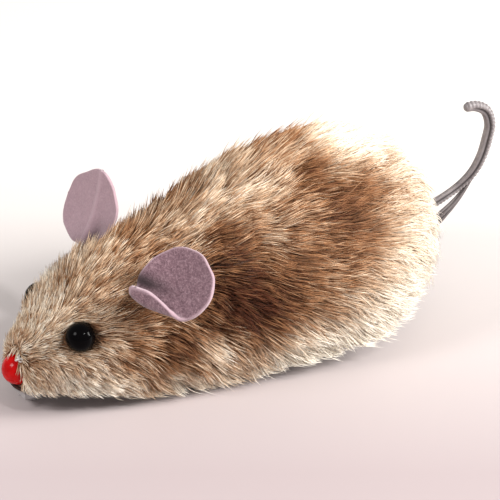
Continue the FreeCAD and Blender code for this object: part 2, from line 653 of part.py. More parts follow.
def make_chassis(foot_holes):
    """The base plate with its wheel slots, a chin tongue and the glide knobs it runs on in front."""
    slab = block("ChassisSlab", "-40", "chassis_front", "chassis_bottom", "80", "120", "chassis_thickness")
    plate = common("ChassisPlate", chassis_edge, slab)
    tongue = block("ChinTongue", "0 - tongue_half_width", "tongue_tip", "tongue_bottom",
                   "2 * tongue_half_width", "chassis_front - tongue_tip + 4", "tongue_thickness")
    step = block("TongueStep", "0 - tongue_half_width", "chassis_front", "tongue_bottom",
                 "2 * tongue_half_width", "4", "chassis_bottom - tongue_bottom + 0.5")
    knobs = [ball("CentreGlide", "glide_radius", "0", "glide_place", "glide_radius")]
    for side, sign in (("Left", ""), ("Right", "0 - ")):
        knobs.append(ball(side + "Glide", "glide_radius - 0.3", sign + "glide_side_offset",
                          "glide_side_place", "tongue_bottom - 0.5"))
    knobs.append(ball("FrontGlide", "0.9", "0", "tongue_tip + 0.9", "tongue_bottom - 0.2"))
    slots = []
    for side, sign in (("Left", 1), ("Right", -1)):
        low = "wheel_inner - wheel_slot_gap" if sign > 0 else "0 - wheel_inner - wheel_width - wheel_slot_gap"
        slots.append(block(side + "WheelSlot", low, "axle_place - tyre_radius - wheel_slot_gap", "0",
                           "wheel_width + 2 * wheel_slot_gap",
                           "2 * ( tyre_radius + wheel_slot_gap )", "20"))
    slots.append(block("GovernorSlot", "2.4", "axle_place - 7.2", "0", "2.8", "14.4", "20"))
    whole = fuse("ChassisBlank", plate, tongue, step, *knobs)
    subpart(cut("Chassis", whole, *slots, *foot_holes), "chassis")


EARS = {
    # root, centre of the felt disc and the way that the disc faces
    "Left": (Vector(10, -37, 30.0), Vector(17, -27.4, 31.6), Vector(0.45, -0.65, 0.61)),
    "Right": (Vector(-10, -36, 30.0), Vector(-16.5, -33.1, 36.0), Vector(0.15, -0.9, 0.4)),
}


def make_ear(side):
    """A thick felt disc on a pinched stem that is sewn into the pelt."""
    root, centre, facing = EARS[side]
    felt = size("ear_felt")
    facing = facing.normalize()
    disc = bind(DOC.addObject("Part::Cylinder", side + "EarDisc"), Radius="ear_radius", Height="ear_felt")
    disc.Placement = Placement(centre - facing * felt / 2, Rotation(Vector(0, 0, 1), facing))
    stem = bind(DOC.addObject("Part::Cone", side + "EarStem"),
                Radius1="ear_stem_base", Radius2="ear_stem_top")
    stem.Height = (centre - root).Length * 0.7
    stem.Placement = Placement(root, Rotation(Vector(0, 0, 1), centre - root))
    return subpart(fuse(side + "Ear", disc, stem), side.lower() + "_ear")


def make_eye(side, sign):
    """A glossy bead on a stem that grips the shell."""
    offset = "eye_offset" if sign > 0 else "0 - eye_offset"
    bead = ball(side + "EyeBead", "eye_radius", offset, "eye_place", "eye_height")
    start = "eye_stem_inner" if sign > 0 else "0 - eye_offset"
    stem = cylinder_x(side + "EyeStem", "eye_stem_radius", start, "eye_offset - eye_stem_inner",
                      "eye_place", "eye_height")
    return subpart(fuse(side + "Eye", bead, stem), side.lower() + "_eye"), stem


def make_nose():
    """The bead and the thick thread that holds it: through the bead and back into the muzzle."""
    bead = ball("BeadBlank", "bead_radius", "0", "bead_place", "bead_height")
    bead.Placement.Rotation = Rotation(Vector(0, 1, 0), 90)
    reach = "( bead_radius + 0.5 )"
    hole = cylinder_x("BeadHole", "bead_hole", "0 - " + reach, "2 * " + reach, "bead_place", "bead_height")
    subpart(cut("NoseBead", bead, hole), "nose_bead")
    pieces = [cylinder_x("ThreadCross", "thread_radius", "0 - " + reach, "2 * " + reach,
                         "bead_place", "bead_height")]
    for side, x in (("Left", reach), ("Right", "0 - " + reach)):
        pieces.append(ball(side + "ThreadBend", "thread_radius", x, "bead_place", "bead_height"))
        run = bind(DOC.addObject("Part::Cylinder", side + "ThreadRun"),
                   Radius="thread_radius", Height="thread_run")
        run.Placement.Rotation = Rotation(Vector(1, 0, 0), -90)
        pieces.append(place(run, x, "bead_place", "bead_height"))
    thread = subpart(fuse("NoseThread", *pieces), "nose_thread")
    clearance = ball("BeadClearance", "bead_radius + running_gap", "0", "bead_place", "bead_height")
    return [clearance, thread]


TAIL_LINE = [
    # y and z of the round moulding's middle, from its root to its tip
    (43.6, 20.3), (53.0, 23.7), (57.4, 25.6), (61.2, 28.4), (63.6, 32.1), (65.1, 36.4),
    (65.9, 40.8), (64.5, 44.5), (61.4, 46.4), (58.0, 46.6),
]
LOWER_ARM = [
    # y, z and half height of the flat lower arm, from the block to where it joins the upper arm
    (44.2, 15.6, 1.9), (49.6, 16.6, 1.9), (53.6, 19.2, 1.4), (57.6, 22.9, 0.9), (60.8, 26.9, 0.7),
]


def rounded_path(points):
    """A wire of straight runs, joined by arcs that take 0.45 of the shorter run beside each corner."""
    corners = [Vector(0, y, z) for y, z in points]
    edges, start = [], corners[0]
    for before, corner, after in zip(corners, corners[1:], corners[2:]):
        inward, outward = (corner - before), (after - corner)
        trim = 0.45 * min(inward.Length, outward.Length)
        inward.normalize()
        outward.normalize()
        half_turn = inward.getAngle(outward) / 2
        radius = trim / math.tan(half_turn)
        towards_centre = (outward - inward).normalize()
        middle = corner + towards_centre * (radius / math.cos(half_turn) - radius)
        edges.append(Part.makeLine(start, corner - inward * trim))
        start = corner + outward * trim
        edges.append(Part.Arc(corner - inward * trim, middle, start).toShape())
    edges.append(Part.makeLine(start, corners[-1]))
    return Part.Wire(edges)


def flat_arm(stations, half_width):
    """A plate in the YZ plane whose half height changes along its line."""
    upper, lower = [], []
    for index, (y, z, half_height) in enumerate(stations):
        before, after = stations[max(index - 1, 0)], stations[min(index + 1, len(stations) - 1)]
        along = Vector(0, after[0] - before[0], after[1] - before[1]).normalize()
        across = Vector(0, -along.z, along.y) * half_height
        upper.append(Vector(-half_width, y, z) + across)
        lower.append(Vector(-half_width, y, z) - across)
    corners = upper + lower[::-1] + upper[:1]
    return Part.Face(Part.makePolygon(corners)).extrude(Vector(2 * half_width, 0, 0))


def make_tail():
    """The moulded tail: an upper arm that runs on into the curl, a flat lower arm below it, and a
    block with a peg where both meet the rump."""
    radius = size("tail_radius")
    path = rounded_path(TAIL_LINE)
    start, heading = path.Edges[0].Vertexes[0].Point, path.Edges[0].tangentAt(0)
    ring = Part.Wire(Part.makeCircle(radius, start, heading))
    tube = path.makePipeShell([ring], True, False)
    print("tail tube volume", round(tube.Volume, 2), "section times length",
          round(math.pi * radius ** 2 * path.Length, 2))
    tip = Part.makeSphere(radius, Vector(0, TAIL_LINE[-1][0], TAIL_LINE[-1][1]))
    arm = flat_arm(LOWER_ARM, size("tail_arm_half_width"))
    half_width, front = size("tail_block_half_width"), size("tail_block_front")
    root = Part.makeBox(2 * half_width, size("tail_block_depth"), size("tail_block_height"),
                        Vector(-half_width, front, size("tail_block_bottom")))
    inner_end = Vector(0, size("tail_peg_inner"), size("tail_peg_height"))
    rearward = Vector(0, 1, 0)
    peg = Part.makeCylinder(size("tail_peg_radius"), front + 1 - inner_end.y, inner_end, rearward)
    whole = subpart(shaped("Tail", tube.fuse([tip, arm, root, peg])), "tail")
    collar = Part.makeCylinder(size("retainer_radius"), size("retainer_thickness"),
                               inner_end + rearward, rearward)
    subpart(shaped("TailRetainer", collar.cut(peg)), "tail_retainer")
    return whole


def below_rising_hem():
    """What lies under the hem's rear part, which rises towards the rump."""
    angle = "( hem_rise_angle * 1 deg )"
    under = bind(DOC.addObject("Part::Box", "UnderRisingHem"),
                 Length="4 * haunch_half_width", Width="2 * hem_cut_depth", Height="hem_cut_depth")
    under.Placement.Rotation = Rotation(Vector(1, 0, 0), size("hem_rise_angle"))
    return place(under, "0 - 2 * haunch_half_width", "hem_rise_start + hem_cut_depth * sin" + angle,
                 "hem_height - hem_cut_depth * cos" + angle)


def make_coverings(tools_for_pelt, tools_for_shell):
    """The shell with its stem holes, and the pelt around it, cut wherever a piece passes through."""
    outside = "( 0 - ribs_half_width - key_gap )"
    arch = cylinder_x("WheelArch", "tyre_radius + arch_gap", "0 - wheel_inner - wheel_width - arch_side_gap",
                      "2 * ( wheel_inner + wheel_width + arch_side_gap )", *AXLE)
    shell_key_hole = cylinder_x("ShellKeyHole", "key_hole_radius", outside, "14", *WINDING)
    pelt_key_hole = cylinder_x("PeltKeyHole", "key_hole_radius", outside, "14", *WINDING)
    shell_blank = cut("ShellBlank", shell_outer, shell_inner)
    shell = cut("BodyShell", above("Shell", shell_blank, "shell_rim_height"), arch, shell_key_hole,
                *tools_for_shell)
    subpart(shell, "body_shell")
    mouth = block("MouthNotch", "0 - tongue_half_width - mouth_gap", "-70", "0",
                  "2 * ( tongue_half_width + mouth_gap )", "70 + chassis_front + 4",
                  "chassis_bottom + fit_gap")
    pelt_blank = cut("PeltBlank", pelt_outer, pelt_inner)
    pelt = cut("FurCover", above("Pelt", pelt_blank, "hem_height"), below_rising_hem(), arch,
               pelt_key_hole, mouth, *tools_for_pelt)
    subpart(pelt, "fur_cover")


def make_all():
    make_axle()
    make_wheel("Left", 1)
    make_wheel("Right", -1)
    make_train()
    make_winding()
    make_governor()
    make_chassis(make_motor_frame())
    ears = [make_ear("Left"), make_ear("Right")]
    eyes = [make_eye("Left", 1), make_eye("Right", -1)]
    nose = make_nose()
    tail = make_tail()
    stems = [stem for eye, stem in eyes]
    make_coverings(nose + ears + [tail] + [eye for eye, stem in eyes], nose + stems + [tail] + ears)


def failed(item):
    return any(word in item.State for word in ("Invalid", "Error"))


def check_and_write():
    """Stop at the first object that failed, then write each sub-part."""
    DOC.recompute()
    broken = [item.Name for item in DOC.Objects if failed(item)]
    if broken:
        raise RuntimeError("failed objects: " + ", ".join(broken))
    for item in SUBPARTS:
        if item.Shape.isNull() or not item.Shape.isValid() or not item.Shape.Solids:
            raise RuntimeError("bad shape: " + item.Label)
    os.makedirs("parts", exist_ok=True)
    for item in SUBPARTS:
        item.Shape.exportStep("parts/" + item.Label + ".step")
        print("%-20s solids %2d  volume %9.2f" % (item.Label, len(item.Shape.Solids), item.Shape.Volume))


make_all()
check_and_write()
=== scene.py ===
"""The looks of the clockwork mouse: plush fur, felt ears, beads, moulded tail, and its works.

Lengths are in metres in the CAD frame: +X is the mouse's left side, -Y is where its nose points,
and Z is up from the floor. MM turns the millimetres that most values are given in into metres.
"""
import math
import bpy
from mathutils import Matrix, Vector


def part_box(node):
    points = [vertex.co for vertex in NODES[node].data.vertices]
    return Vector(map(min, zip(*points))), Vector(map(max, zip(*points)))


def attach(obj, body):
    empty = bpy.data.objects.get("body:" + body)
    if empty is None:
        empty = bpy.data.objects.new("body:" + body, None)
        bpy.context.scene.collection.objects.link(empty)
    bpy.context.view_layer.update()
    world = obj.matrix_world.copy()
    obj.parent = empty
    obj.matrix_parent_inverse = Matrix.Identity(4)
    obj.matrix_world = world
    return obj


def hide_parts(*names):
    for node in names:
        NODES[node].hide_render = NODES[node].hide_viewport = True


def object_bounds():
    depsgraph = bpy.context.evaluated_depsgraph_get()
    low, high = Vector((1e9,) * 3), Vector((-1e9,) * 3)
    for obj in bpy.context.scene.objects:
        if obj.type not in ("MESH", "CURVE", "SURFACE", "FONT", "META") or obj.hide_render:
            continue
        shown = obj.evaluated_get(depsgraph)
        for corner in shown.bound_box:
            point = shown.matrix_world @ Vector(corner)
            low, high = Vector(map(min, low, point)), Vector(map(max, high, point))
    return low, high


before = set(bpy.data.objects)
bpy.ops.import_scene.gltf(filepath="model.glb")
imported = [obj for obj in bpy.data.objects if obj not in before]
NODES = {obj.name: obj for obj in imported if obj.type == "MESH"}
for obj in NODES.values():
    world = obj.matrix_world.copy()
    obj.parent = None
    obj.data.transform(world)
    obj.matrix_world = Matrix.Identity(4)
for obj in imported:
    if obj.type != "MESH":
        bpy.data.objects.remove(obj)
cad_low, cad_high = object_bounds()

from types import SimpleNamespace

import bpy
import numpy as np
from mathutils import Vector, noise
from mathutils.bvhtree import BVHTree
from mathutils.kdtree import KDTree

MM = 0.001
RNG = np.random.default_rng(61)

# ---------- view, floor and light

AZIMUTH = math.radians(61)
ELEVATION = math.radians(30)
VIEW_DISTANCE = 1.2
VIEW_WIDTH = 118.6 * MM  # what the picture shows from side to side, at the mouse
AIM_RIGHT = 0.1 * MM
AIM_UP = 20.7 * MM
SENSOR = 36.0

def view_axes():
    """Which way the camera's right, up and back point."""
    sin_a, cos_a = math.sin(AZIMUTH), math.cos(AZIMUTH)
    sin_e, cos_e = math.sin(ELEVATION), math.cos(ELEVATION)
    right = Vector((cos_a, sin_a, 0))
    up = Vector((-sin_a * sin_e, cos_a * sin_e, cos_e))
    back = Vector((sin_a * cos_e, -cos_a * cos_e, sin_e))
    return right, up, back

def make_camera():
    right, up, back = view_axes()
    data = bpy.data.cameras.new("view")
    data.sensor_width = SENSOR
    data.lens = SENSOR * VIEW_DISTANCE / VIEW_WIDTH
    data.clip_start, data.clip_end = 0.1, 20
    camera = bpy.data.objects.new("view", data)
    camera.location = right * AIM_RIGHT + up * AIM_UP + back * VIEW_DISTANCE
    camera.rotation_mode = "QUATERNION"
    camera.rotation_quaternion = (-back).to_track_quat("-Z", "Y")
    bpy.context.scene.collection.objects.link(camera)
    bpy.context.scene.camera = camera

def area_light(name, place, aim, size, power, tint):
    data = bpy.data.lights.new(name, "AREA")
    data.shape = "DISK"
    data.size = size
    data.energy = power
    data.color = tint
    lamp = bpy.data.objects.new(name, data)
    lamp.location = place
    lamp.rotation_mode = "QUATERNION"
    lamp.rotation_quaternion = (Vector(aim) - Vector(place)).to_track_quat("-Z", "Y")
    bpy.context.scene.collection.objects.link(lamp)

def make_light():
    """A pale studio: two softboxes, and a small lamp that makes the sparkle in the eyes."""
    bpy.context.scene.view_settings.view_transform = "Standard"
    right, up, back = view_axes()
    world = bpy.data.worlds.new("studio")
    world.use_nodes = True
    sky = world.node_tree.nodes["Background"]
    sky.inputs["Color"].default_value = (1.0, 0.985, 0.97, 1)
    sky.inputs["Strength"].default_value = 0.50
    bpy.context.scene.world = world
    middle = (cad_low + cad_high) / 2
    area_light("softbox_rear", middle + right * 0.66 + Vector((0, 0, 0.30)) + back * 0.06,
               middle, 0.34, 8.8, (1.0, 0.98, 0.96))
    area_light("softbox_front", middle + (right * -0.65 + up * 0.36 + back * 0.69) * 0.62,
               middle, 0.22, 1.7, (1.0, 0.985, 0.97))
    area_light("sparkle", middle + (right * 0.44 + up * 0.44 + back * 0.78) * 0.95,
               middle, 0.07, 2.2, (1.0, 1.0, 1.0))

# ---------- material helpers

def shown(red, green, blue):
    """A shader colour from display values of 0 to 255."""
    values = []
    for part in (red / 255, green / 255, blue / 255):
        values.append(part / 12.92 if part <= 0.04045 else ((part + 0.055) / 1.055) ** 2.4)
    return (*values, 1.0)

def add(tree, kind, links=None, **values):
    """A node with these settings; links holds what its inputs are joined to, or their values."""
    made = tree.nodes.new(kind)
    for name, value in values.items():
        setattr(made, name, value)
    for name, value in (links or {}).items():
        if isinstance(value, bpy.types.NodeSocket):
            tree.links.new(value, made.inputs[name])
        else:
            made.inputs[name].default_value = value
    return made

def finish_of(name, **shader):
    """A new material and its tree and shader; values that are the same all over go on the shader."""
    material = bpy.data.materials.new(name)
    material.use_nodes = True
    tree = material.node_tree
    bsdf = tree.nodes["Principled BSDF"]
    for socket, value in shader.items():
        bsdf.inputs[socket.replace("_", " ")].default_value = value
    return material, tree, bsdf

def grain(tree, scale, detail=3.0, roughness=0.5, stretch=None):
    """Noise in the frame's own coordinates, as a value from 0 to 1."""
    place = add(tree, "ShaderNodeTexCoord").outputs["Object"]
    if stretch:
        place = add(tree, "ShaderNodeMapping", {"Vector": place, "Scale": stretch}).outputs["Vector"]
    made = add(tree, "ShaderNodeTexNoise",
               {"Vector": place, "Scale": scale, "Detail": detail, "Roughness": roughness})
    return made.outputs["Fac"]

def ramp(tree, value, stops):
    """The colours of stops, a list of (place, colour), picked by a value."""
    made = add(tree, "ShaderNodeValToRGB", {"Fac": value})
    elements = made.color_ramp.elements
    while len(elements) < len(stops):
        elements.new(1.0)
    for element, (place, colour) in zip(elements, stops):
        element.position = place
        element.color = colour
    return made.outputs["Color"]

def mixed(tree, share, first, second):
    """The first colour with this share of the second; each may be a value or a socket."""
    made = add(tree, "ShaderNodeMix", data_type="RGBA")
    for index, value in ((0, share), (6, first), (7, second)):
        if isinstance(value, bpy.types.NodeSocket):
            tree.links.new(value, made.inputs[index])
        else:
            made.inputs[index].default_value = value
    return made.outputs[2]

def span(tree, value, low, high):
    """A value of 0 to 1 stretched to low to high."""
    return add(tree, "ShaderNodeMapRange",
               {"Value": value, "To Min": low, "To Max": high}).outputs["Result"]

def bumpy(tree, bsdf, height, distance, strength=1.0):
    made = add(tree, "ShaderNodeBump", {"Height": height, "Distance": distance, "Strength": strength})
    tree.links.new(made.outputs["Normal"], bsdf.inputs["Normal"])

def attribute(tree, name):
    """A value that the mesh holds for each of its points."""
    return add(tree, "ShaderNodeAttribute", attribute_name=name).outputs["Fac"]

def finish_with_grain(name, dark, light, scale, roughness, bump, metal=0.0, stretch=None):
    """A finish whose colour and roughness wander, with fine bumps, as moulding or rolling leaves."""
    material, tree, bsdf = finish_of(name, Metallic=metal)
    fine = grain(tree, scale, 3.0, 0.6, stretch)
    cloud = grain(tree, scale / 9, 2.0, 0.5)
    tree.links.new(ramp(tree, cloud, [(0.3, dark), (0.7, light)]), bsdf.inputs["Base Color"])
    tree.links.new(span(tree, fine, roughness, roughness + 0.18), bsdf.inputs["Roughness"])
    bumpy(tree, bsdf, fine, bump * MM, 0.7)
    return material

def dress(names, material, bevel=0.0):
    """Gives CAD nodes a finish, and softened edges where a bevel is named."""
    for name in names:
        node = NODES[name]
        node.data.materials.clear()
        node.data.materials.append(material)
        if bevel:
            rounding = node.modifiers.new("softened edges", "BEVEL")
            rounding.width = bevel
            rounding.segments = 2
            rounding.limit_method = "ANGLE"
            rounding.angle_limit = math.radians(40)

# ---------- mesh helpers

def new_object(name, mesh, body="root"):
    made = bpy.data.objects.new(name, mesh)
    bpy.context.scene.collection.objects.link(made)
    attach(made, body)
    return made

def mesh_from(name, points, faces):
    mesh = bpy.data.meshes.new(name)
    mesh.from_pydata([tuple(p) for p in points], [], [tuple(f) for f in faces])
    mesh.update()
    mesh.shade_smooth()
    return mesh

def give_values(mesh, name, values):
    """Gives each point of a mesh a value that its material reads by this name."""
    made = mesh.attributes.new(name, "FLOAT", "POINT")
    made.data.foreach_set("value", np.asarray(values, np.float32).ravel())

def unit(vectors):
    return vectors / np.maximum(np.linalg.norm(vectors, axis=-1, keepdims=True), 1e-12)

def smooth_step(low, high, value):
    """0 at low and 1 at high, with a smooth rise between them."""
    t = np.clip((value - low) / (high - low), 0, 1)
    return t * t * (3 - 2 * t)

def blurred(values):
    """Each value of a grid replaced by the mean of its four neighbours."""
    edges = ((1, 1), (1, 1)) + ((0, 0),) * (values.ndim - 2)
    wide = np.pad(values, edges, mode="edge")
    return (wide[:-2, 1:-1] + wide[2:, 1:-1] + wide[1:-1, :-2] + wide[1:-1, 2:]) / 4

def grid_faces(rings, columns):
    """The four-sided faces of a grid of points."""
    index = np.arange(rings * columns).reshape(rings, columns)
    return np.stack([index[:-1, :-1], index[:-1, 1:], index[1:, 1:], index[1:, :-1]],
                    axis=-1).reshape(-1, 4)

def rim_faces(rings, columns):
    """Faces that join the edges of two grids of this size, whose points follow each other."""
    size = rings * columns
    index = np.arange(size).reshape(rings, columns)
    faces = []
    for line in (index[:, 0], index[::-1, -1], index[0, ::-1], index[-1, :]):
        faces += [(b, a, a + size, b + size) for a, b in zip(line[:-1], line[1:])]
    return faces

def cell_area(points):
    """The area of each cell of a grid of points."""
    along = points[1:, :-1] - points[:-1, :-1]
    across = points[:-1, 1:] - points[:-1, :-1]
    return np.linalg.norm(np.cross(along, across), axis=-1)

def tube_faces(rings, sides, closed=False):
    """Faces between rings of points, with a cap at each end unless the last ring meets the first."""
    faces = []
    for ring in range(rings if closed else rings - 1):
        low, high = ring * sides, (ring + 1) % rings * sides
        for k in range(sides):
            n = (k + 1) % sides
            faces.append((low + k, low + n, high + n, high + k))
    if not closed:
        faces.append(tuple(range(sides))[::-1])
        faces.append(tuple((rings - 1) * sides + k for k in range(sides)))
    return faces

def tube_mesh(line, radii, sides, closed=False):
    """The points and faces of a round tube along a line of points."""
    line = np.array(line, float)
    if closed:
        tangent = unit(np.roll(line, -1, 0) - np.roll(line, 1, 0))
    else:
        tangent = unit(np.gradient(line, axis=0))
    up = np.array((1.0, 0, 0)) if abs(tangent[0, 0]) < 0.7 else np.array((0, 0, 1.0))
    points = []
    for place, heading, radius in zip(line, tangent, np.broadcast_to(radii, len(line))):
        up = up - heading * (up @ heading)
        up = up / np.linalg.norm(up)
        beside = np.cross(heading, up)
        for k in range(sides):
            angle = 2 * math.pi * k / sides
            points.append(place + (up * math.cos(angle) + beside * math.sin(angle)) * radius)
    return np.array(points), tube_faces(len(line), sides, closed)

def joined(parts):
    """Points and faces of several (points, faces) pairs as one."""
    points, faces, start = [], [], 0
    for some_points, some_faces in parts:
        points.append(some_points)
        faces += [tuple(index + start for index in face) for face in some_faces]
        start += len(some_points)
    return np.concatenate(points), faces

def smooth_line(points, count):
    """Catmull-Rom through the points."""
    points = np.array(points, float)
    padded = np.concatenate([[2 * points[0] - points[1]], points, [2 * points[-1] - points[-2]]])
    made = []
    for place in np.linspace(0, len(points) - 1 - 1e-6, count):
        k, t = int(place), place - int(place)
        p = padded[k:k + 4]
        made.append(0.5 * (2 * p[1] + (p[2] - p[0]) * t + (2 * p[0] - 5 * p[1] + 4 * p[2] - p[3]) * t ** 2
                           + (3 * p[1] - p[0] - 3 * p[2] + p[3]) * t ** 3))
    return np.array(made)

# ---------- the pelt's surface

RINGS_PER_END = 26
RINGS_BETWEEN = 130
COLUMNS = 60  # from the ridge of the back to the hem, on one side
SKIRT = 5  # extra columns below the hem that the longest hairs follow
SKIRT_STEP = 0.55 * MM
FULL_LEAN = math.radians(86)
FIRST_HEM_ANGLE = 60  # degrees from straight up, where the search for the hem begins
HEM_RISE_START = -20 * MM  # from here on to the rump the hem rises, as in the CAD
HEM_RISE = math.tan(math.radians(7.8))
HEM_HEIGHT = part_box("fur_cover")[0].z
CHIN_RISE = 3.6 * MM  # how much the cloth is turned up under the chin
CHIN_RISE_START = -30 * MM
CHIN_RISE_END = -56 * MM

def over_hem(points):
    """How far each point stands above the hem's line."""
    y = points[..., 1]
    hem = HEM_HEIGHT + HEM_RISE * np.maximum(y - HEM_RISE_START, 0)
    hem += CHIN_RISE * smooth_step(CHIN_RISE_START, CHIN_RISE_END, y)
    return points[..., 2] - hem

def ray_rings():
    """Where the rays that feel the pelt start, and which way each ring of them leans."""
    low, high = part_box("fur_cover")
    front = Vector((0, low.y + 11 * MM, low.z + 8 * MM))
    rear = Vector((0, high.y - 15 * MM, low.z + 20 * MM))
    rings = []
    for index in range(RINGS_PER_END):
        rings.append((front, -FULL_LEAN * (1 - index / RINGS_PER_END)))
    for index in range(RINGS_BETWEEN + 1):
        rings.append((front.lerp(rear, index / RINGS_BETWEEN), 0.0))
    for index in range(RINGS_PER_END):
        rings.append((rear, FULL_LEAN * (index + 1) / RINGS_PER_END))
    return rings

def feel(tree, origin, lean, angle):
    """The outermost point of the pelt along one ray, and the ray's direction."""
    side = Vector((math.sin(angle), 0, math.cos(angle)))
    direction = side * math.cos(lean) + Vector((0, 1, 0)) * math.sin(lean)
    reach = 90 * MM
    hit = tree.ray_cast(origin + direction * reach, -direction, reach)[0]
    return hit, direction

def half_surface():
    """Points over the pelt's left half, ring by ring from nose to tail and from ridge to hem. The
    sockets of the eye, ear and bead are smoothed over."""
    cover = NODES["fur_cover"].data
    tree = BVHTree.FromPolygons([v.co for v in cover.vertices], [p.vertices for p in cover.polygons])
    sockets = []
    for name, margin in (("left_eye", 1.2 * MM), ("left_ear", 1.0 * MM), ("nose_bead", 0.6 * MM)):
        low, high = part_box(name)
        sockets.append(((low + high) / 2, (high - low) / 2 + Vector((margin,) * 3)))
    rings = ray_rings()
    shape = (len(rings), COLUMNS)
    distance, holes = np.zeros(shape), np.ones(shape, bool)
    origins, directions = np.zeros((*shape, 3)), np.zeros((*shape, 3))
    for ring, (origin, lean) in enumerate(rings):
        last = math.pi
        for degrees in range(FIRST_HEM_ANGLE, 181, 2):
            hit, _ = feel(tree, origin, lean, math.radians(degrees))
            missed = hit is None and (lean == 0 or (lean > 0 and degrees > 100))
            if missed or (hit is not None and over_hem(np.array(hit)) < 0.5 * MM):
                last = math.radians(degrees - 1)
                break
        for column in range(COLUMNS):
            hit, direction = feel(tree, origin, lean, last * column / (COLUMNS - 1))
            origins[ring, column], directions[ring, column] = origin, direction
            if hit is None:
                continue
            distance[ring, column] = (hit - origin).length
            holes[ring, column] = any(
                all(abs(hit[k] - centre[k]) < half[k] for k in range(3)) for centre, half in sockets)
    distance[holes] = distance[~holes].mean()
    for _ in range(600):
        distance = np.where(holes, blurred(distance), distance)
    return origins + directions * distance[..., None]

def pelt_surface():
    """The whole grid, from the hem on the right (-X) over the back to the hem on the left."""
    half = half_surface()
    points = np.concatenate([half[:, ::-1] * (-1, 1, 1), half[:, 1:]], axis=1)
    for _ in range(6):
        points = (points + blurred(points)) / 2
    return points

def grid_normals(points):
    along = np.gradient(points, axis=0)
    across = np.gradient(points, axis=1)
    return unit(np.cross(across, along))

def with_skirt(points):
    """The grid carried on a little way below the hem, for hairs that hang past it."""
    grid = points
    for edge, inner in ((0, 1), (-1, -2)):
        last, before = points[:, edge], points[:, inner]
        down = unit(unit(last - before) * 0.35 + (0, 0, -0.65))
        step = np.where(over_hem(last)[:, None] < 1.8 * MM, SKIRT_STEP, 0.02 * MM)
        added = np.stack([last + down * step * (k + 1) for k in range(SKIRT)], axis=1)
        grid = np.concatenate([added[:, ::-1], grid] if edge == 0 else [grid, added], axis=1)
    return grid

def surface_tree(points):
    grid = with_skirt(points)
    faces = grid_faces(*grid.shape[:2])
    return BVHTree.FromPolygons([Vector(p) for p in grid.reshape(-1, 3)], faces.tolist())

# ---------- fur

TUFTS = 3000
EAR_GAP = 0.75 * MM  # no hair runs nearer to an ear's felt than this
UNDERCOAT = 3  # how many pieces the undercoat is, and the guard hair
GUARD_COAT = 4
HAIRS_PER_PIECE = 11500
STEPS = (0.30, 0.38, 0.32)  # the shares of a hair's length between its rings
TUFT_PULL = np.array([0, 0.14, 0.32, 0.46])  # how far each ring is drawn towards its tuft
HAIR_TAPER = np.array([0.9, 1.0, 0.75])
KEY_OPENING = 3.6 * MM  # the radius of the hole in the cloth round the key's stem
CLOTH_THICKNESS = 0.35 * MM
DARK_PATCHES_AND_PAINTED_SHADE = [
    # centre as (out from the middle, y, z), radius and darkness; both sides of the mouse have them. The
    # first is painted shadow on the flank behind the ear
    ((20.5, -17.5, 26.0), 10.0, 0.72),
    ((22.0, -7.0, 23.0), 10.0, 0.12),
    ((21.0, 4.0, 31.0), 12.0, 0.24),
    ((14.0, 12.0, 37.5), 10.0, 0.44),
    ((5.0, 7.0, 42.5), 7.5, 0.34),
    ((18.0, -31.5, 17.5), 6.0, 0.42),
    ((15.0, -42.0, 16.0), 4.5, 0.24),
    ((13.0, -42.0, 26.0), 4.5, 0.20),
    ((8.0, -14.0, 39.0), 6.0, 0.18),
    ((11.0, -21.0, 36.0), 6.0, 0.18),
    ((3.0, -34.0, 32.5), 7.0, 0.24),
]
PALE_PATCHES_AND_PAINTED_LIGHT = [
    # the rump and the next three, on the lower haunch and flank, are paler coat with painted light on it
    ((0.0, 46.0, 24.0), 19.0, 1.10),
    ((22.0, 25.0, 20.0), 12.0, 0.56),
    ((23.5, 12.0, 9.0), 10.0, 0.44),
    ((24.0, -3.0, 10.0), 9.0, 0.40),
    ((19.8, -24.0, 16.5), 4.5, 0.44),
    ((12.0, -50.0, 9.0), 8.0, 0.24),
    ((0.0, -56.0, 18.0), 8.0, 0.20),
    ((0.0, 22.0, 49.0), 9.0, 0.24),
    ((5.0, 17.0, 48.5), 6.0, 0.36),
    ((2.5, -8.0, 43.5), 7.0, 0.13),
    ((2.5, -23.0, 37.5), 7.0, 0.10),
]
LOFTS = [
    # centre, radius and how much higher the tips stand; the coat is not the same on both sides
    ((-8.0, -47.0, 25.0), 6.5, 2.6),
    ((-3.0, -40.0, 31.0), 7.0, 1.6),
    ((-9.0, -33.0, 33.0), 6.0, 1.2),
    ((-8.5, -53.0, 20.5), 4.5, 3.0),
    ((20.0, -24.5, 15.0), 5.0, 1.3),
    ((7.0, 49.0, 15.0), 13.0, -1.8),
]

def smooth_noise(points, wavelength, seed):
    """A value of about -1 to 1 that changes smoothly over the given length."""
    shift = Vector((seed * 17.3, seed * 5.1, seed * 9.7))
    return np.array([noise.noise(Vector(p) / wavelength + shift) for p in points])

def coat_brown_and_painted_light(points):
    """How brown the coat is at each point, from 0, cream, to 1, dark brown, with the painted shadow and
    painted light of the patch tables in it.
    """
    mirrored = np.abs(points * (1, 0, 0)) + points * (0, 1, 1)
    value = np.full(len(points), 0.34)
    for patches, sign in ((DARK_PATCHES_AND_PAINTED_SHADE, 1), (PALE_PATCHES_AND_PAINTED_LIGHT, -1)):
        for centre, radius, amount in patches:
            gap = np.linalg.norm(mirrored - np.array(centre) * MM, axis=1) / (radius * MM)
            value += sign * amount * np.exp(-gap ** 2)
    value -= 0.20 * smooth_step(8 * MM, 1 * MM, over_hem(points))
    return value

def pile(points):
    """The depth of the coat, from its tips to the cloth that it grows from."""
    return MM * (1.1 + 1.7 * smooth_step(-58 * MM, -25 * MM, points[:, 1]))

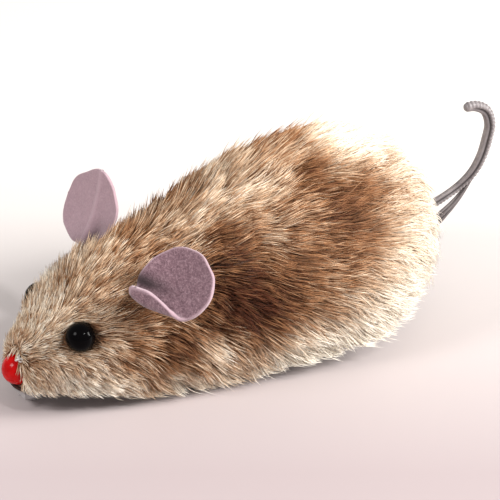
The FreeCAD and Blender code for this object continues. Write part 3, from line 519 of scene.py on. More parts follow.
def loft(points):
    """How far the tips stand above the pelt where the coat is fluffed up."""
    total = np.zeros(len(points))
    for centre, radius, height in LOFTS:
        gap = np.linalg.norm(points - np.array(centre) * MM, axis=1) / (radius * MM)
        total += height * MM * np.exp(-gap ** 2)
    return total

def hair_length(points):
    y = points[:, 1]
    return MM * (3.4 + 3.2 * smooth_step(-60 * MM, -38 * MM, y) + 3.4 * smooth_step(-38 * MM, 5 * MM, y))

def combed(points, normals):
    """The way the coat lies: back along the body, and down its flanks and stern."""
    steep = 1 - normals[:, 2]
    down = 0.05 + 0.42 * smooth_step(0.25, 1.0, steep)
    down += 0.75 * smooth_step(0.45, 0.9, normals[:, 1])
    down += 0.40 * smooth_step(7 * MM, 0, over_hem(points)) * smooth_step(-50 * MM, -30 * MM, points[:, 1])
    field = np.zeros_like(points)
    field[:, 1] = 1
    field[:, 2] = -down
    field -= normals * (field * normals).sum(1, keepdims=True)
    return unit(field)

def turned(directions, normals, angles):
    """Directions in the surface turned about its normals."""
    c, s = np.cos(angles)[:, None], np.sin(angles)[:, None]
    return directions * c + np.cross(normals, directions) * s

def walk(tree, starts, angles, lengths):
    """Follows the surface from each start along the coat. Gives the points and the normals."""
    places, sides = [], []
    here = starts
    for step in (0.0, *STEPS):
        if step:
            heading = turned(combed(here, out), out, angles)
            here = here + heading * (lengths * step)[:, None]
        found = [tree.find_nearest(Vector(p)) for p in here]
        here = np.array([f[0] for f in found])
        out = np.array([f[1] for f in found])
        places.append(here)
        sides.append(out)
    return np.stack(places, 1), np.stack(sides, 1)

def scattered(points, count, favour):
    """Random places on the grid, spread evenly by area and favour, a weight for each cell."""
    area = cell_area(points) * favour
    chances = area.ravel() / area.sum()
    cells = RNG.choice(len(chances), count, p=chances)
    ring, column = np.divmod(cells, area.shape[1])
    u, v = RNG.random(count)[:, None], RNG.random(count)[:, None]
    return (points[ring, column] * (1 - u) * (1 - v) + points[ring + 1, column] * u * (1 - v)
            + points[ring, column + 1] * (1 - u) * v + points[ring + 1, column + 1] * u * v)

def coat_turn(points):
    """How far the coat swirls away from its combed lie."""
    return 0.55 * smooth_noise(points, 15 * MM, 1) + 0.55 * smooth_noise(points, 5.5 * MM, 2)

def keep_clear(places, solids):
    """Which hairs stay out of the eyes, ears, bead and key."""
    good = np.ones(len(places), bool)
    for tree, low, high in solids:
        near = np.all((places > low) & (places < high), axis=-1)
        for hair, ring in np.argwhere(near):
            if good[hair] and tree.find_nearest(Vector(places[hair, ring]), EAR_GAP)[0] is not None:
                good[hair] = False
    for name, out in (("left_eye", 1), ("right_eye", -1), ("nose_bead", 0)):
        low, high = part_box(name)
        radius = (high.z - low.z) / 2
        centre = np.array((low + high) / 2)
        if out:
            centre[0] = high.x - radius if out > 0 else low.x + radius
        away = np.linalg.norm(places - centre, axis=-1).min(1)
        good &= away > radius + 0.06 * MM
    low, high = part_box("winding_key")
    centre = np.array((low + high) / 2)[1:]
    away = np.linalg.norm(places[..., 1:] - centre, axis=-1).min(1)
    good &= (places[:, 0, 0] > 0) | (away > 3.4 * MM)
    return good

def strand_mesh(name, centres, out, radii, values):
    """One mesh of many three-sided hairs. centres and out are (hairs, 4, 3): three rings and a tip;
    radii is (hairs, 3), and values are attributes of (hairs,) or (hairs, 10)."""
    count = len(centres)
    tangent = unit(np.gradient(centres, axis=1))
    side = unit(np.cross(tangent, out))
    lift = unit(np.cross(side, tangent))
    corners = []
    for ring in range(3):
        for corner in range(3):
            angle = math.radians(90 + 120 * corner)
            spoke = side[:, ring] * math.cos(angle) + lift[:, ring] * math.sin(angle)
            corners.append(centres[:, ring] + spoke * radii[:, ring, None])
    corners.append(centres[:, 3])
    points = np.stack(corners, 1)
    triangles, spots = [], []
    heights = np.array([0, *np.cumsum(STEPS)])
    for ring in range(2):
        for q in range(3):
            low, high = ring * 3, ring * 3 + 3
            n = (q + 1) % 3
            left, right = q / 3, (q + 1) / 3
            bottom, top = heights[ring], heights[ring + 1]
            triangles += [(low + q, low + n, high + n), (low + q, high + n, high + q)]
            spots += [((left, bottom), (right, bottom), (right, top)),
                      ((left, bottom), (right, top), (left, top))]
    for q in range(3):
        triangles.append((6 + q, 6 + (q + 1) % 3, 9))
        spots.append(((q / 3, heights[2]), ((q + 1) / 3, heights[2]), ((q + 0.5) / 3, 1)))
    triangles.append((2, 1, 0))
    spots.append(((0, 0), (0.5, 0.02), (1, 0)))
    corner_index = (np.arange(count)[:, None, None] * 10 + np.array(triangles)).reshape(-1)
    across = math.ceil(math.sqrt(count))
    cell = np.stack([np.arange(count) % across, np.arange(count) // across], 1)
    uv = (cell[:, None, None] + 0.12 + 0.76 * np.array(spots)[None]) / across
    mesh = bpy.data.meshes.new(name)
    mesh.vertices.add(count * 10)
    mesh.vertices.foreach_set("co", points.astype(np.float32).ravel())
    mesh.loops.add(len(corner_index))
    mesh.loops.foreach_set("vertex_index", corner_index.astype(np.int32))
    mesh.polygons.add(len(corner_index) // 3)
    mesh.polygons.foreach_set("loop_start", np.arange(0, len(corner_index), 3, dtype=np.int32))
    mesh.update(calc_edges=True)
    layer = mesh.uv_layers.new(name="OFBake")
    layer.data.foreach_set("uv", uv.astype(np.float32).ravel())
    for key, value in values.items():
        give_values(mesh, key, value if value.ndim == 2 else np.repeat(value[:, None], 10, 1))
    mesh.shade_smooth()
    return mesh

def fur_material():
    material, tree, bsdf = finish_of("plush_fur", Roughness=0.70, Specular_IOR_Level=0.12,
                                     Sheen_Weight=0.05, Sheen_Roughness=0.5)
    mottle = grain(tree, 420, 2.0, 0.6)
    fine = grain(tree, 2600, 1.0, 0.5)
    # The brown attribute holds the coat's colour with painted shadow and painted light from the patch tables
    brown = add(tree, "ShaderNodeMath", {0: attribute(tree, "brown"), 1: span(tree, mottle, -0.13, 0.13)},
                operation="ADD").outputs["Value"]
    tips = ramp(tree, brown, [(0.0, shown(255, 248, 234)), (0.30, shown(230, 204, 174)),
                              (0.60, shown(170, 122, 82)), (1.0, shown(94, 48, 24))])
    roots = ramp(tree, brown, [(0.0, shown(249, 231, 207)), (0.30, shown(168, 122, 86)),
                               (0.62, shown(92, 50, 28)), (1.0, shown(40, 17, 8))])
    along = add(tree, "ShaderNodeMapRange", {"Value": attribute(tree, "along"), "From Min": 0.05,
                                             "From Max": 0.85}).outputs["Result"]
    base = mixed(tree, along, roots, tips)
    shade = add(tree, "ShaderNodeMath", {0: attribute(tree, "shade"), 1: span(tree, fine, 0.92, 1.08)},
                operation="MULTIPLY").outputs["Value"]
    made = add(tree, "ShaderNodeHueSaturation", {"Color": base, "Value": shade})
    tree.links.new(made.outputs["Color"], bsdf.inputs["Base Color"])
    return material

def drawn_up(centres):
    """The heights of hairs, with most of what hangs below the coat's ragged lower edge taken up."""
    lowest = MM * (1.8 + 4.2 * smooth_step(-22 * MM, -60 * MM, centres[..., 1]))
    lowest += RNG.uniform(-0.7, 0.7, (len(centres), 1)) * MM
    hanging = np.minimum(centres[..., 2] - lowest, 0)
    return np.maximum(centres[..., 2] - 0.8 * hanging, 1.2 * MM)

def solid_of(piece):
    """What keep_clear needs to know of a piece: its tree, and its box with the gap round it."""
    mesh = piece.data
    tree = BVHTree.FromPolygons([v.co for v in mesh.vertices], [p.vertices for p in mesh.polygons])
    places = np.array([v.co for v in mesh.vertices])
    return tree, places.min(0) - EAR_GAP, places.max(0) + EAR_GAP

def make_tufts(points, favour, tree):
    """The tufts that hairs gather in: how each turns, runs, lifts and is coloured."""
    seeds = scattered(points, TUFTS, favour)
    turn = coat_turn(seeds) + RNG.normal(0, 0.16, TUFTS)
    length = hair_length(seeds) * RNG.uniform(0.85, 1.2, TUFTS)
    paths, _ = walk(tree, seeds, turn, length)
    lift = RNG.normal(0.1, 0.5, TUFTS)
    brown = RNG.normal(0, 0.09, TUFTS) + 0.14 * smooth_noise(seeds, 6 * MM, 3)
    brown += 0.10 * smooth_noise(seeds, 13 * MM, 5)
    nearest = KDTree(TUFTS)
    for index, seed in enumerate(seeds):
        nearest.insert(Vector(seed), index)
    nearest.balance()
    return SimpleNamespace(nearest=nearest, turn=turn, paths=paths, lift=lift, brown=brown)

def hair_heights(roots, lift, guard):
    """How high each ring of the hairs stands over the pelt's surface."""
    deep = pile(roots)
    rise = RNG.uniform(-0.40, 0.40, len(roots)) * deep + lift * 0.35 * deep
    rise += RNG.exponential(0.16, len(roots)) * deep if guard else -0.30 * deep
    rise += loft(roots) * RNG.uniform(0.6, 1.1, len(roots))
    return np.stack([-deep, -0.55 * deep + 0.3 * rise, -0.22 * deep + 0.7 * rise, rise], 1)

def hair_mesh(name, points, favour, tree, tufts, solids, guard):
    """Hairs rooted at random over the pelt and drawn towards their tufts."""
    roots = scattered(points, HAIRS_PER_PIECE, favour)
    own = np.array([tufts.nearest.find(Vector(p))[1] for p in roots])
    spread = RNG.normal(0, 0.20 if guard else 0.36, len(roots))
    turn = 0.7 * tufts.turn[own] + 0.3 * coat_turn(roots) + spread
    length = hair_length(roots) * RNG.uniform(0.75, 1.15, len(roots)) * (1.0 if guard else 0.6)
    places, out = walk(tree, roots, turn, length)
    gather = tufts.paths[own] + 0.35 * (places[:, :1] - tufts.paths[own][:, :1])
    pull = TUFT_PULL * (1.0 if guard else 0.6)
    places = places + (gather - places) * pull[None, :, None]
    centres = places + out * hair_heights(roots, tufts.lift[own], guard)[..., None]
    centres[:, 1:] += RNG.normal(0, 0.05 * MM, centres[:, 1:].shape)
    centres[..., 2] = drawn_up(centres)
    good = keep_clear(centres, solids)
    centres, out, own, roots = centres[good], out[good], own[good], roots[good]
    width = RNG.uniform(0.085, 0.135, len(roots)) * MM * (1.0 if guard else 1.15)
    # brown holds the coat's colour together with the painted shadow and painted light of the patch tables
    brown = coat_brown_and_painted_light(roots) + tufts.brown[own] + RNG.normal(0, 0.09, len(roots))
    brown += 0.0 if guard else 0.16
    shade = np.clip(RNG.normal(1.0, 0.10, len(roots)), 0.7, 1.3)
    along = np.repeat(np.array([0, *np.cumsum(STEPS)]), [3, 3, 3, 1])
    return strand_mesh(name, centres, out, width[:, None] * HAIR_TAPER, {
        "along": np.tile(along, (len(roots), 1)), "brown": brown, "shade": shade})

def make_fur(points, solids):
    tree = surface_tree(points)
    favour = 1 + 1.1 * smooth_step(-35 * MM, -55 * MM, points[:-1, :-1, 1])
    tufts = make_tufts(points, favour, tree)
    material = fur_material()
    pieces = []
    for coat, count in (("undercoat", UNDERCOAT), ("guard_coat", GUARD_COAT)):
        for number in range(1, count + 1):
            name = "fur_%s_%d" % (coat, number)
            mesh = hair_mesh(name, points, favour, tree, tufts, solids, coat == "guard_coat")
            piece = new_object(name, mesh)
            mesh.materials.append(material)
            pieces.append(piece)
    return pieces

def backing_material():
    material, tree, bsdf = finish_of("pelt_backing", Roughness=0.95, Sheen_Weight=0.3)
    speck = grain(tree, 3000, 3.0, 0.7)
    patch = grain(tree, 160, 2.0, 0.5)
    dark = ramp(tree, speck, [(0.3, shown(60, 34, 20)), (0.7, shown(140, 98, 64))])
    light = ramp(tree, speck, [(0.3, shown(96, 62, 40)), (0.7, shown(178, 138, 100))])
    tree.links.new(mixed(tree, patch, dark, light), bsdf.inputs["Base Color"])
    bumpy(tree, bsdf, speck, 0.25 * MM)
    return material

def make_backing(points):
    """The knitted cloth that the hairs grow from: two layers, closed at the hem."""
    normals = grid_normals(points)
    depth = pile(points.reshape(-1, 3)).reshape(points.shape[:2])[..., None]
    outer = points - normals * depth
    inner = points - normals * (depth + CLOTH_THICKNESS)
    rings, columns = points.shape[:2]
    faces = grid_faces(rings, columns)
    whole = np.concatenate([outer.reshape(-1, 3), inner.reshape(-1, 3)])
    low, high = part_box("winding_key")
    key = np.array((low + high) / 2)
    middles = whole[faces].mean(1)
    beside_key = np.linalg.norm(middles[:, 1:] - key[1:], axis=1) < KEY_OPENING
    kept = faces[(middles[:, 0] >= 0) | ~beside_key]
    under = kept[:, ::-1] + rings * columns
    mesh = mesh_from("fur_backing", whole, [*kept, *under, *rim_faces(rings, columns)])
    piece = new_object("fur_backing", mesh)
    mesh.materials.append(backing_material())
    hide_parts("fur_cover")

# ---------- ears

EARS = {
    # root, centre of the disc and the way it faces
    "left": ((10, -37, 30.0), (17, -27.4, 31.6), (0.45, -0.65, 0.61)),
    "right": ((-10, -36, 30.0), (-16.5, -33.1, 36.0), (0.15, -0.9, 0.4)),
}
EAR_OUTLINES = {
    # bulges in the cut: their direction and spread to each side in degrees, and their size
    "left": [(238, 66, 25, 0.42), (22, 20, 20, -0.07)],
    "right": [(262, 34, 30, -0.06), (318, 20, 24, 0.13), (48, 20, 20, -0.06)],
}
EAR_RADIUS = 8.6
EAR_THICKNESS = 1.0
EAR_CELLS = 72
FULL_ROLL = 2.7  # radians that the left ear's lip turns through
RIDGE_START = 4.8  # the right ear's ridge line: its height at the root, and its slope
RIDGE_SLOPE = 0.70

def felt_material():
    material, tree, bsdf = finish_of("ear_felt", Roughness=0.92, Specular_IOR_Level=0.2,
                                     Sheen_Weight=0.35, Sheen_Roughness=0.6)
    fibres = grain(tree, 2300, 4.0, 0.72)
    tufts = grain(tree, 900, 2.0, 0.6)
    cloud = grain(tree, 420, 3.0, 0.6)
    speck = ramp(tree, fibres, [(0.34, shown(62, 38, 48)), (0.50, shown(134, 100, 110)),
                                (0.67, shown(198, 168, 176))])
    soft = ramp(tree, tufts, [(0.32, shown(104, 74, 84)), (0.68, shown(166, 134, 142))])
    both = mixed(tree, 0.42, speck, soft)
    shaded = mixed(tree, span(tree, cloud, 0.0, 0.46), both, shown(96, 66, 78))
    # Paler towards the cut edge and over the whole right ear; along the right ear's ridge the paler line is
    # a painted highlight
    edged = mixed(tree, attribute(tree, "pale_felt_and_ridge_highlight"), shaded, shown(182, 153, 162))
    # Painted shade: the hollow at each ear's root, and under the left ear's lip, darkened almost to black
    deep = mixed(tree, attribute(tree, "deep"), edged, shown(34, 18, 23))
    tree.links.new(deep, bsdf.inputs["Base Color"])
    bumpy(tree, bsdf, fibres, 0.22 * MM, 0.9)
    return material

def lower_lip(a, b, z):
    """Turns the lower part of the left ear forwards and up in a roll, so that its cut edge lies
    over the hollow at its root."""
    radius = 1.15 + 0.03 * a
    bottom = -4.2 * (1 - np.exp(-np.maximum(a, 0) / 2.0)) - 0.36 * a - 0.5 * np.maximum(a - 11, 0)
    start = bottom + radius
    depth = np.maximum(start - b, 0)
    angle = np.minimum(depth / radius, FULL_ROLL)
    left_over = depth - angle * radius
    rolled = start - radius * np.sin(angle) - left_over * math.cos(FULL_ROLL)
    lifted = radius * (1 - np.cos(angle)) + left_over * math.sin(FULL_ROLL)
    return np.where(depth > 0, rolled, b), z + lifted

def ridge(a, b, z):
    """Bends the right ear back along a line across it."""
    line = RIDGE_START - RIDGE_SLOPE * a
    lean = math.cos(math.atan(RIDGE_SLOPE))
    depth = (line - b) * lean
    soft = 0.7
    bent = soft * np.logaddexp(0, depth / soft)
    return b, z - 0.26 * bent

def ear_middle(side, length, forward):
    """The middle of the felt in the ear's own axes, in millimetres: a petal from the root, cupped
    and folded. Also how pale the felt is painted, towards the cut edge, over the whole right ear and
    most along its ridge, where it is a painted highlight; and the painted shade in the hollow at the root."""
    line = np.linspace(-1, 1, EAR_CELLS)
    s, t = np.meshgrid(line, line, indexing="ij")
    x, y = s * np.sqrt(1 - t ** 2 / 2), t * np.sqrt(1 - s ** 2 / 2)
    turn = np.degrees(np.arctan2(y, x))
    reach = np.full(turn.shape, EAR_RADIUS)
    for towards, before, after, size in EAR_OUTLINES[side]:
        off = (turn - towards + 180) % 360 - 180
        reach += EAR_RADIUS * size * np.exp(-(off / np.where(off < 0, before, after)) ** 2)
    reach += EAR_RADIUS * (0.012 * np.sin(np.radians(5 * turn)) + 0.008 * np.sin(np.radians(9 * turn)))
    low = 0.6 if side == "left" else 0.0
    a, b = length + x * reach, y * reach - low
    share = np.clip(1 - a / length, 0, 1)
    z = 0.011 * ((a - length) ** 2 + b ** 2) + forward * share ** 1.4
    z -= 1.1 * np.exp(-(a - 1.5) ** 2 / 14 - (b + 0.3 * a) ** 2 / 5)
    b, z = (lower_lip if side == "left" else ridge)(a, b, z)
    edge = smooth_step(0.95, 1.0, np.sqrt(x ** 2 + y ** 2))
    if side == "left":
        # painted shade in the hollow under the lip, near the root
        hollow = 2.3 - 0.46 * a
        deep = np.exp(-((a - 3.0) / 6.0) ** 2 - ((b - hollow) / 2.0) ** 2) * (z < forward + 1.3)
    else:
        fold = b - RIDGE_START + RIDGE_SLOPE * a
        crease = np.exp(-(fold / 0.55) ** 2)
        z = z + 0.22 * crease
        # The right ear's felt is paler all over, and paler still along the crease: a painted highlight on
        # the ridge
        edge = np.maximum(edge, 0.66 + 0.30 * crease)
        # painted shade near the root, most just beside the fold on the side that is bent back
        deep = np.exp(-((a - 1.0) / 3.6) ** 2) * (0.35 + 0.65 * np.exp(-((fold + 2.4) / 1.6) ** 2))
    return np.stack([a, b, z], -1), edge, 0.92 * deep

def make_ear(side, material):
    root, centre, facing = EARS[side]
    root, centre = np.array(root, float), np.array(centre, float)
    out = unit(np.array(facing, float))
    forward = float((root - centre) @ out)
    along = centre - root + out * forward
    length = float(np.linalg.norm(along))
    along = along / length
    across = np.cross(out, along)
    middle, edge, deep = ear_middle(side, length, forward)
    normal = unit(np.cross(np.gradient(middle, axis=0), np.gradient(middle, axis=1)))
    rough = np.array([noise.noise(Vector(p) * 0.55) for p in middle.reshape(-1, 3)]).reshape(edge.shape)
    half = (EAR_THICKNESS / 2) * (1 - 0.2 * edge) + 0.10 * rough
    sides = [middle + normal * half[..., None], middle - normal * half[..., None]]
    whole = np.concatenate([side_points.reshape(-1, 3) for side_points in sides])
    placed = centre + (whole[:, :1] - length) * along + whole[:, 1:2] * across + whole[:, 2:] * out
    faces = grid_faces(EAR_CELLS, EAR_CELLS)
    name = side + "_ear_felt"
    mesh = mesh_from(name, placed * MM, [*faces[:, ::-1], *(faces + EAR_CELLS ** 2),
                                         *rim_faces(EAR_CELLS, EAR_CELLS)])
    # The first value is the paler felt, with a painted highlight along the right ear's ridge; deep is
    # painted shade in the hollow at the root
    for key, value in (("pale_felt_and_ridge_highlight", edge), ("deep", deep)):
        give_values(mesh, key, np.tile(value.ravel(), 2))
    ear = new_object(name, mesh)
    mesh.materials.append(material)
    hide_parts(side + "_ear")
    return ear

# ---------- face

def bead_material(name, colour, roughness, gloss):
    """Glossy moulded plastic with the faintest ripple and dust in its lacquer."""
    material, tree, bsdf = finish_of(name, Specular_IOR_Level=gloss)
    ripple = grain(tree, 350, 2.0, 0.5)
    dust = grain(tree, 5200, 3.0, 0.7)
    deep = tuple(part * 0.72 for part in colour[:3]) + (1.0,)
    tree.links.new(ramp(tree, ripple, [(0.3, deep), (0.7, colour)]), bsdf.inputs["Base Color"])
    tree.links.new(span(tree, dust, roughness, roughness + 0.08), bsdf.inputs["Roughness"])
    bumpy(tree, bsdf, ripple, 0.02 * MM, 0.4)
    return material

def make_knot(nylon):
    """The knot of the thread beside the bead: a trefoil with two cut ends."""
    low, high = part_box("nose_bead")
    place = np.array([2.9 * MM, low.y + 2.9 * MM, high.z + 0.6 * MM])
    turns = np.linspace(0, 2 * math.pi, 90, endpoint=False)
    loop = np.stack([np.sin(turns) + 2 * np.sin(2 * turns), np.cos(turns) - 2 * np.cos(2 * turns),
                     -np.sin(3 * turns)], 1) * 0.30 * MM
    parts = [tube_mesh(place + loop, 0.21 * MM, 8, True)]
    for end in ((0.5, -0.3, 1.4), (1.3, 0.2, 0.5)):
        tip = np.array(end) * MM
        line = [place + tip * share + np.array([0, 0, 0.25 * MM * math.sin(3 * share)])
                for share in np.linspace(0, 1, 8)]
        parts.append(tube_mesh(line, 0.16 * MM, 8))
    knot = new_object("nose_knot", mesh_from("nose_knot", *joined(parts)))
    knot.data.materials.append(nylon)

def make_chin_shadow():
    """A dark strip round the front of the chin, just under the bead: painted shadow under the bead, with a
    felt-like speckle.
    """
    low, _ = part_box("nose_bead")
    felt, tree, bsdf = finish_of("chin_shadow_felt", Roughness=0.9)
    specks = grain(tree, 2600, 3.0, 0.7)
    colour = ramp(tree, specks, [(0.3, shown(28, 12, 9)), (0.7, shown(66, 34, 24))])
    tree.links.new(colour, bsdf.inputs["Base Color"])
    bumpy(tree, bsdf, specks, 0.2 * MM)
    angles = np.linspace(-1.25, 1.25, 40)
    front = low.y + 2.7 * MM
    line = np.stack([5.2 * MM * np.sin(angles), front + 4.2 * MM * (1 - np.cos(angles)),
                     np.full(40, low.z - 0.42 * MM)], 1)
    # A dark tube that stands in for the shadow under the bead
    shadow_strip = new_object("chin_shadow_strip", mesh_from("chin_shadow_strip", *tube_mesh(line, 0.42 * MM, 10)))
    shadow_strip.data.materials.append(felt)

def make_face():
    dress(("left_eye", "right_eye"), bead_material("eye_black", shown(5, 4, 5), 0.05, 0.05))
    dress(("nose_bead",), bead_material("bead_red", shown(202, 3, 5), 0.12, 0.16))
    nylon = finish_with_grain("nose_nylon", shown(188, 182, 178), shown(226, 222, 216), 2600, 0.22, 0.04)
    dress(("nose_thread",), nylon)
    make_knot(nylon)
    make_chin_shadow()

# ---------- tail

TAIL_LINE = [
    # y, z and radius of the moulding's middle, from its root to its tip, as in the CAD
    (43.6, 20.3, 1.25), (48.4, 22.1, 1.15), (53.0, 23.7, 1.05), (57.4, 25.7, 1.10), (61.0, 28.4, 1.25),
    (63.4, 32.1, 1.34), (64.8, 36.4, 1.38), (65.5, 40.4, 1.38), (64.3, 44.2, 1.34), (61.4, 46.2, 1.26),
    (58.2, 46.6, 1.15),
]
ROOT_LOWER = [(44.0, 13.9), (48.6, 14.35), (53.6, 18.0), (57.6, 22.3), (61.0, 27.3)]
ROOT_UPPER = [(44.0, 17.6), (48.6, 17.85), (53.6, 20.3), (57.6, 23.3), (61.0, 27.3)]
RIBS = 5  # they fan out from the lower to the upper line of the fork's root
RIB_SIDE = 0.22
RIB_POINTS = 60
WEB_HALF = 0.24
WEB_POINTS = 24

def tail_body():
    """The ringed tube with a groove along each side of its inner half. Also how dark each point is
    painted: painted shade deep in the grooves and in the dips between the rings."""
    line = smooth_line(TAIL_LINE, 420)
    path, radii = line[:, :2], line[:, 2]
    tangent = unit(np.gradient(path, axis=0))
    outward = np.stack([tangent[:, 1], -tangent[:, 0]], 1)
    travel = np.concatenate([[0], np.cumsum(np.linalg.norm(np.diff(path, axis=0), axis=1))])
    end = travel[-1]
    sides = 40
    angle = np.linspace(0, 2 * math.pi, sides, endpoint=False)
    from_out = np.abs((angle + math.pi) % (2 * math.pi) - math.pi)
    groove = np.exp(-((from_out - math.radians(108)) / 0.34) ** 2)
    outer = smooth_step(math.radians(105), math.radians(60), from_out)
    fade = smooth_step(0.2, 5.0, end - travel)
    rings = np.sin(2 * math.pi * travel / 0.95)
    scale = 1 - 0.36 * groove[None] * fade[:, None] + 0.065 * outer[None] * rings[:, None]
    tip = np.sqrt(np.clip(1 - (1 - np.clip((end - travel) / 1.1, 0, 1)) ** 2, 0.0004, 1))
    reach = radii[:, None] * scale * tip[:, None]
    x = np.sin(angle)[None] * reach * 0.92
    y = path[:, :1] + np.cos(angle)[None] * reach * outward[:, :1]
    z = path[:, 1:] + np.cos(angle)[None] * reach * outward[:, 1:]
    points = np.stack([x, y, z], -1).reshape(-1, 3)
    # painted shade in the dips between the outer rings, and deep in the grooves
    between_rings = 0.35 * outer[None] * np.clip(-rings[:, None], 0, 1)
    dark = np.maximum(groove[None] * fade[:, None], between_rings).reshape(-1)
    return points, tube_faces(len(path), sides), dark

def root_ribs():
    """The fan of ribs that is the lower branch of the fork. Each part comes with how dark it is."""
    lower, upper = np.array(ROOT_LOWER), np.array(ROOT_UPPER)
    parts = []
    for rib in range(RIBS):
        line = smooth_line(lower + (upper - lower) * rib / (RIBS - 1), RIB_POINTS)
        odd = rib % 2
        aside = np.full((RIB_POINTS, 1), RIB_SIDE if odd else -RIB_SIDE)
        tube = tube_mesh(np.hstack([aside, line]), np.linspace(0.44, 0.34, RIB_POINTS), 12)
        parts.append((*tube, 0.15 + 0.25 * odd))
    return parts

def root_web():
    """The thin wall between the ribs."""
    low, high = smooth_line(ROOT_LOWER, WEB_POINTS), smooth_line(ROOT_UPPER, WEB_POINTS)
    corners = [(-WEB_HALF, low), (WEB_HALF, low), (WEB_HALF, high), (-WEB_HALF, high)]
    rings = np.stack([np.insert(line, 0, x, axis=1) for x, line in corners], 1)
    return rings.reshape(-1, 3), tube_faces(WEB_POINTS, len(corners)), 0.75

def root_loop():
    """The small loop of plastic in the fork."""
    line = smooth_line([(0.0, 45.4, 19.7), (0.5, 47.9, 20.2), (0.6, 48.7, 19.3), (0.5, 47.4, 17.9),
                        (0.3, 45.2, 17.4)], 50)
    return (*tube_mesh(line, 0.24, 10), 0.9)

def tail_peg():
    """The peg inside the shell that the retainer grips."""
    low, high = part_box("tail_retainer")
    height = (low.z + high.z) / 2 / MM
    line = [(0, low.y / MM - 0.9 + share * 5.4, height) for share in np.linspace(0, 1, 6)]
    return (*tube_mesh(line, 1.75, 24), 0.2)

def root_block():
    """The rounded block that both branches grow from."""
    sides, rings = 40, 9
    angle = np.linspace(0, 2 * math.pi, sides, endpoint=False)
    across, up = [np.copysign(np.abs(wave) ** 0.5, wave) for wave in (np.cos(angle), np.sin(angle))]
    points = []
    for share in np.linspace(0, 1, rings):
        swell = 1 - 0.22 * share ** 2
        depth = np.full(sides, 41.2 + 4.1 * share)
        points.append(np.stack([2.3 * swell * across, depth, 18.3 + 5.2 * swell * up], 1))
    return np.concatenate(points), [face[::-1] for face in tube_faces(rings, sides)], 0.4

def tail_material():
    material, tree, bsdf = finish_of("tail_vinyl", Specular_IOR_Level=0.5)
    cloud = grain(tree, 260, 3.0, 0.6)
    fine = grain(tree, 3000, 2.0, 0.6)
    base = ramp(tree, cloud, [(0.3, shown(112, 104, 105)), (0.7, shown(146, 139, 139))])
    # Darker where the mesh's dark value is high: painted shade in the grooves and between the rings, and the
    # darkness given to each root part
    with_painted_shade = mixed(tree, attribute(tree, "dark"), base, shown(36, 28, 29))
    tree.links.new(with_painted_shade, bsdf.inputs["Base Color"])
    tree.links.new(span(tree, fine, 0.34, 0.52), bsdf.inputs["Roughness"])
    bumpy(tree, bsdf, fine, 0.04 * MM, 0.6)
    return material

def make_tail():
    parts = [tail_body(), *root_ribs(), root_web(), root_loop(), tail_peg(), root_block()]
    whole, faces = joined([part[:2] for part in parts])
    mesh = mesh_from("tail_moulding", whole * MM, faces)
    # dark: painted shade in the grooves and between the rings of the tube, and a set darkness for each root
    # part
    give_values(mesh, "dark", np.concatenate(
        [np.broadcast_to(shade, len(points)) for points, _, shade in parts]))
    mesh.materials.append(tail_material())
    tail = new_object("tail_moulding", mesh)
    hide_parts("tail")

# ---------- works

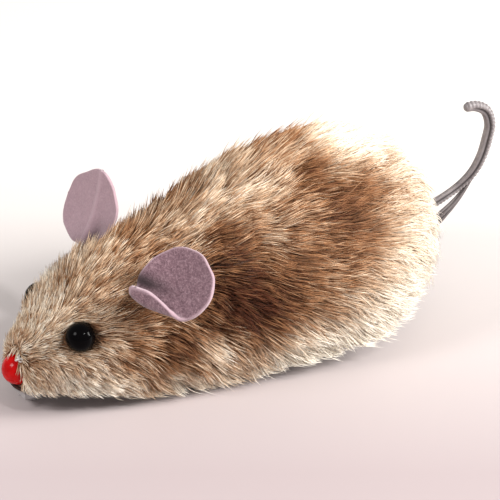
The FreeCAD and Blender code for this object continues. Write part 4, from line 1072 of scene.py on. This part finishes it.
def make_works():
    """Finishes for the nodes inside and underneath."""
    metal, steel_lines = 1.0, (1.0, 14.0, 1.0)
    dress(("winding_key",), finish_with_grain(
        "key_nickel", shown(168, 162, 152), shown(214, 208, 198), 2400, 0.20, 0.05, metal), 0.12 * MM)
    dress(("motor_plate_left", "motor_plate_right"), finish_with_grain(
        "plate_steel", shown(150, 152, 156), shown(196, 198, 202), 2000, 0.28, 0.03, metal, steel_lines))
    steel = finish_with_grain(
        "turned_steel", shown(120, 122, 126), shown(176, 178, 182), 2600, 0.24, 0.03, metal)
    dress(("motor_pillars", "motor_screws", "chassis_screws", "winding_arbor", "drive_axle", "second_arbor",
           "star_arbor", "verge_pivot", "click_rivet"), steel)
    dress(("mainspring",), finish_with_grain(
        "blued_spring", shown(46, 50, 66), shown(92, 96, 112), 1800, 0.25, 0.02, metal, steel_lines))
    dress(("great_gear", "ratchet_wheel", "star_wheel", "verge", "click"), finish_with_grain(
        "gear_brass", shown(152, 112, 48), shown(206, 166, 86), 2200, 0.24, 0.03, metal))
    dress(("axle_pinion", "governor_gear", "second_pinion", "second_gear", "star_pinion"), finish_with_grain(
        "gear_nylon", shown(214, 210, 196), shown(236, 232, 220), 1500, 0.34, 0.03))
    dress(("left_wheel", "right_wheel"), finish_with_grain(
        "wheel_plastic", shown(58, 58, 62), shown(84, 84, 88), 1500, 0.36, 0.03))
    dress(("left_tyre", "right_tyre"), finish_with_grain(
        "tyre_rubber", shown(26, 25, 25), shown(48, 46, 45), 1700, 0.66, 0.12))
    dress(("chassis",), finish_with_grain(
        "chassis_plastic", shown(146, 142, 142), shown(190, 186, 186), 1400, 0.26, 0.05))
    dress(("body_shell", "tail_retainer"), finish_with_grain(
        "inner_shell", shown(70, 66, 64), shown(104, 98, 94), 900, 0.5, 0.05))

# ---------- floor

def make_floor():
    mesh = mesh_from("floor", [(-3, -3, 0), (3, -3, 0), (3, 3, 0), (-3, 3, 0)], [(0, 1, 2, 3)])
    floor = bpy.data.objects.new("floor", mesh)
    bpy.context.scene.collection.objects.link(floor)
    material, tree, bsdf = finish_of("pale_floor", Roughness=0.55)
    tone = grain(tree, 6, 2.0, 0.5)
    near = ramp(tree, tone, [(0.3, shown(182, 168, 169)), (0.7, shown(186, 172, 173))])
    # The floor is painted paler further from the camera and darker near it: painted light, for the way the
    # light falls off across it
    place = add(tree, "ShaderNodeTexCoord").outputs["Object"]
    away = Vector((-math.sin(AZIMUTH), math.cos(AZIMUTH), 0))
    depth = add(tree, "ShaderNodeVectorMath", {0: place, 1: away}, operation="DOT_PRODUCT").outputs["Value"]
    back = add(tree, "ShaderNodeMapRange",
               {"Value": depth, "From Min": -0.06, "From Max": 0.10}).outputs["Result"]
    tree.links.new(mixed(tree, back, near, shown(236, 232, 228)), bsdf.inputs["Base Color"])
    mesh.materials.append(material)

make_camera()
make_light()
make_floor()
surface = pelt_surface()
felt = felt_material()
ears = [make_ear(side, felt) for side in EARS]
make_face()
make_tail()
make_works()
coat = make_fur(surface, [solid_of(ear) for ear in ears])
make_backing(surface)
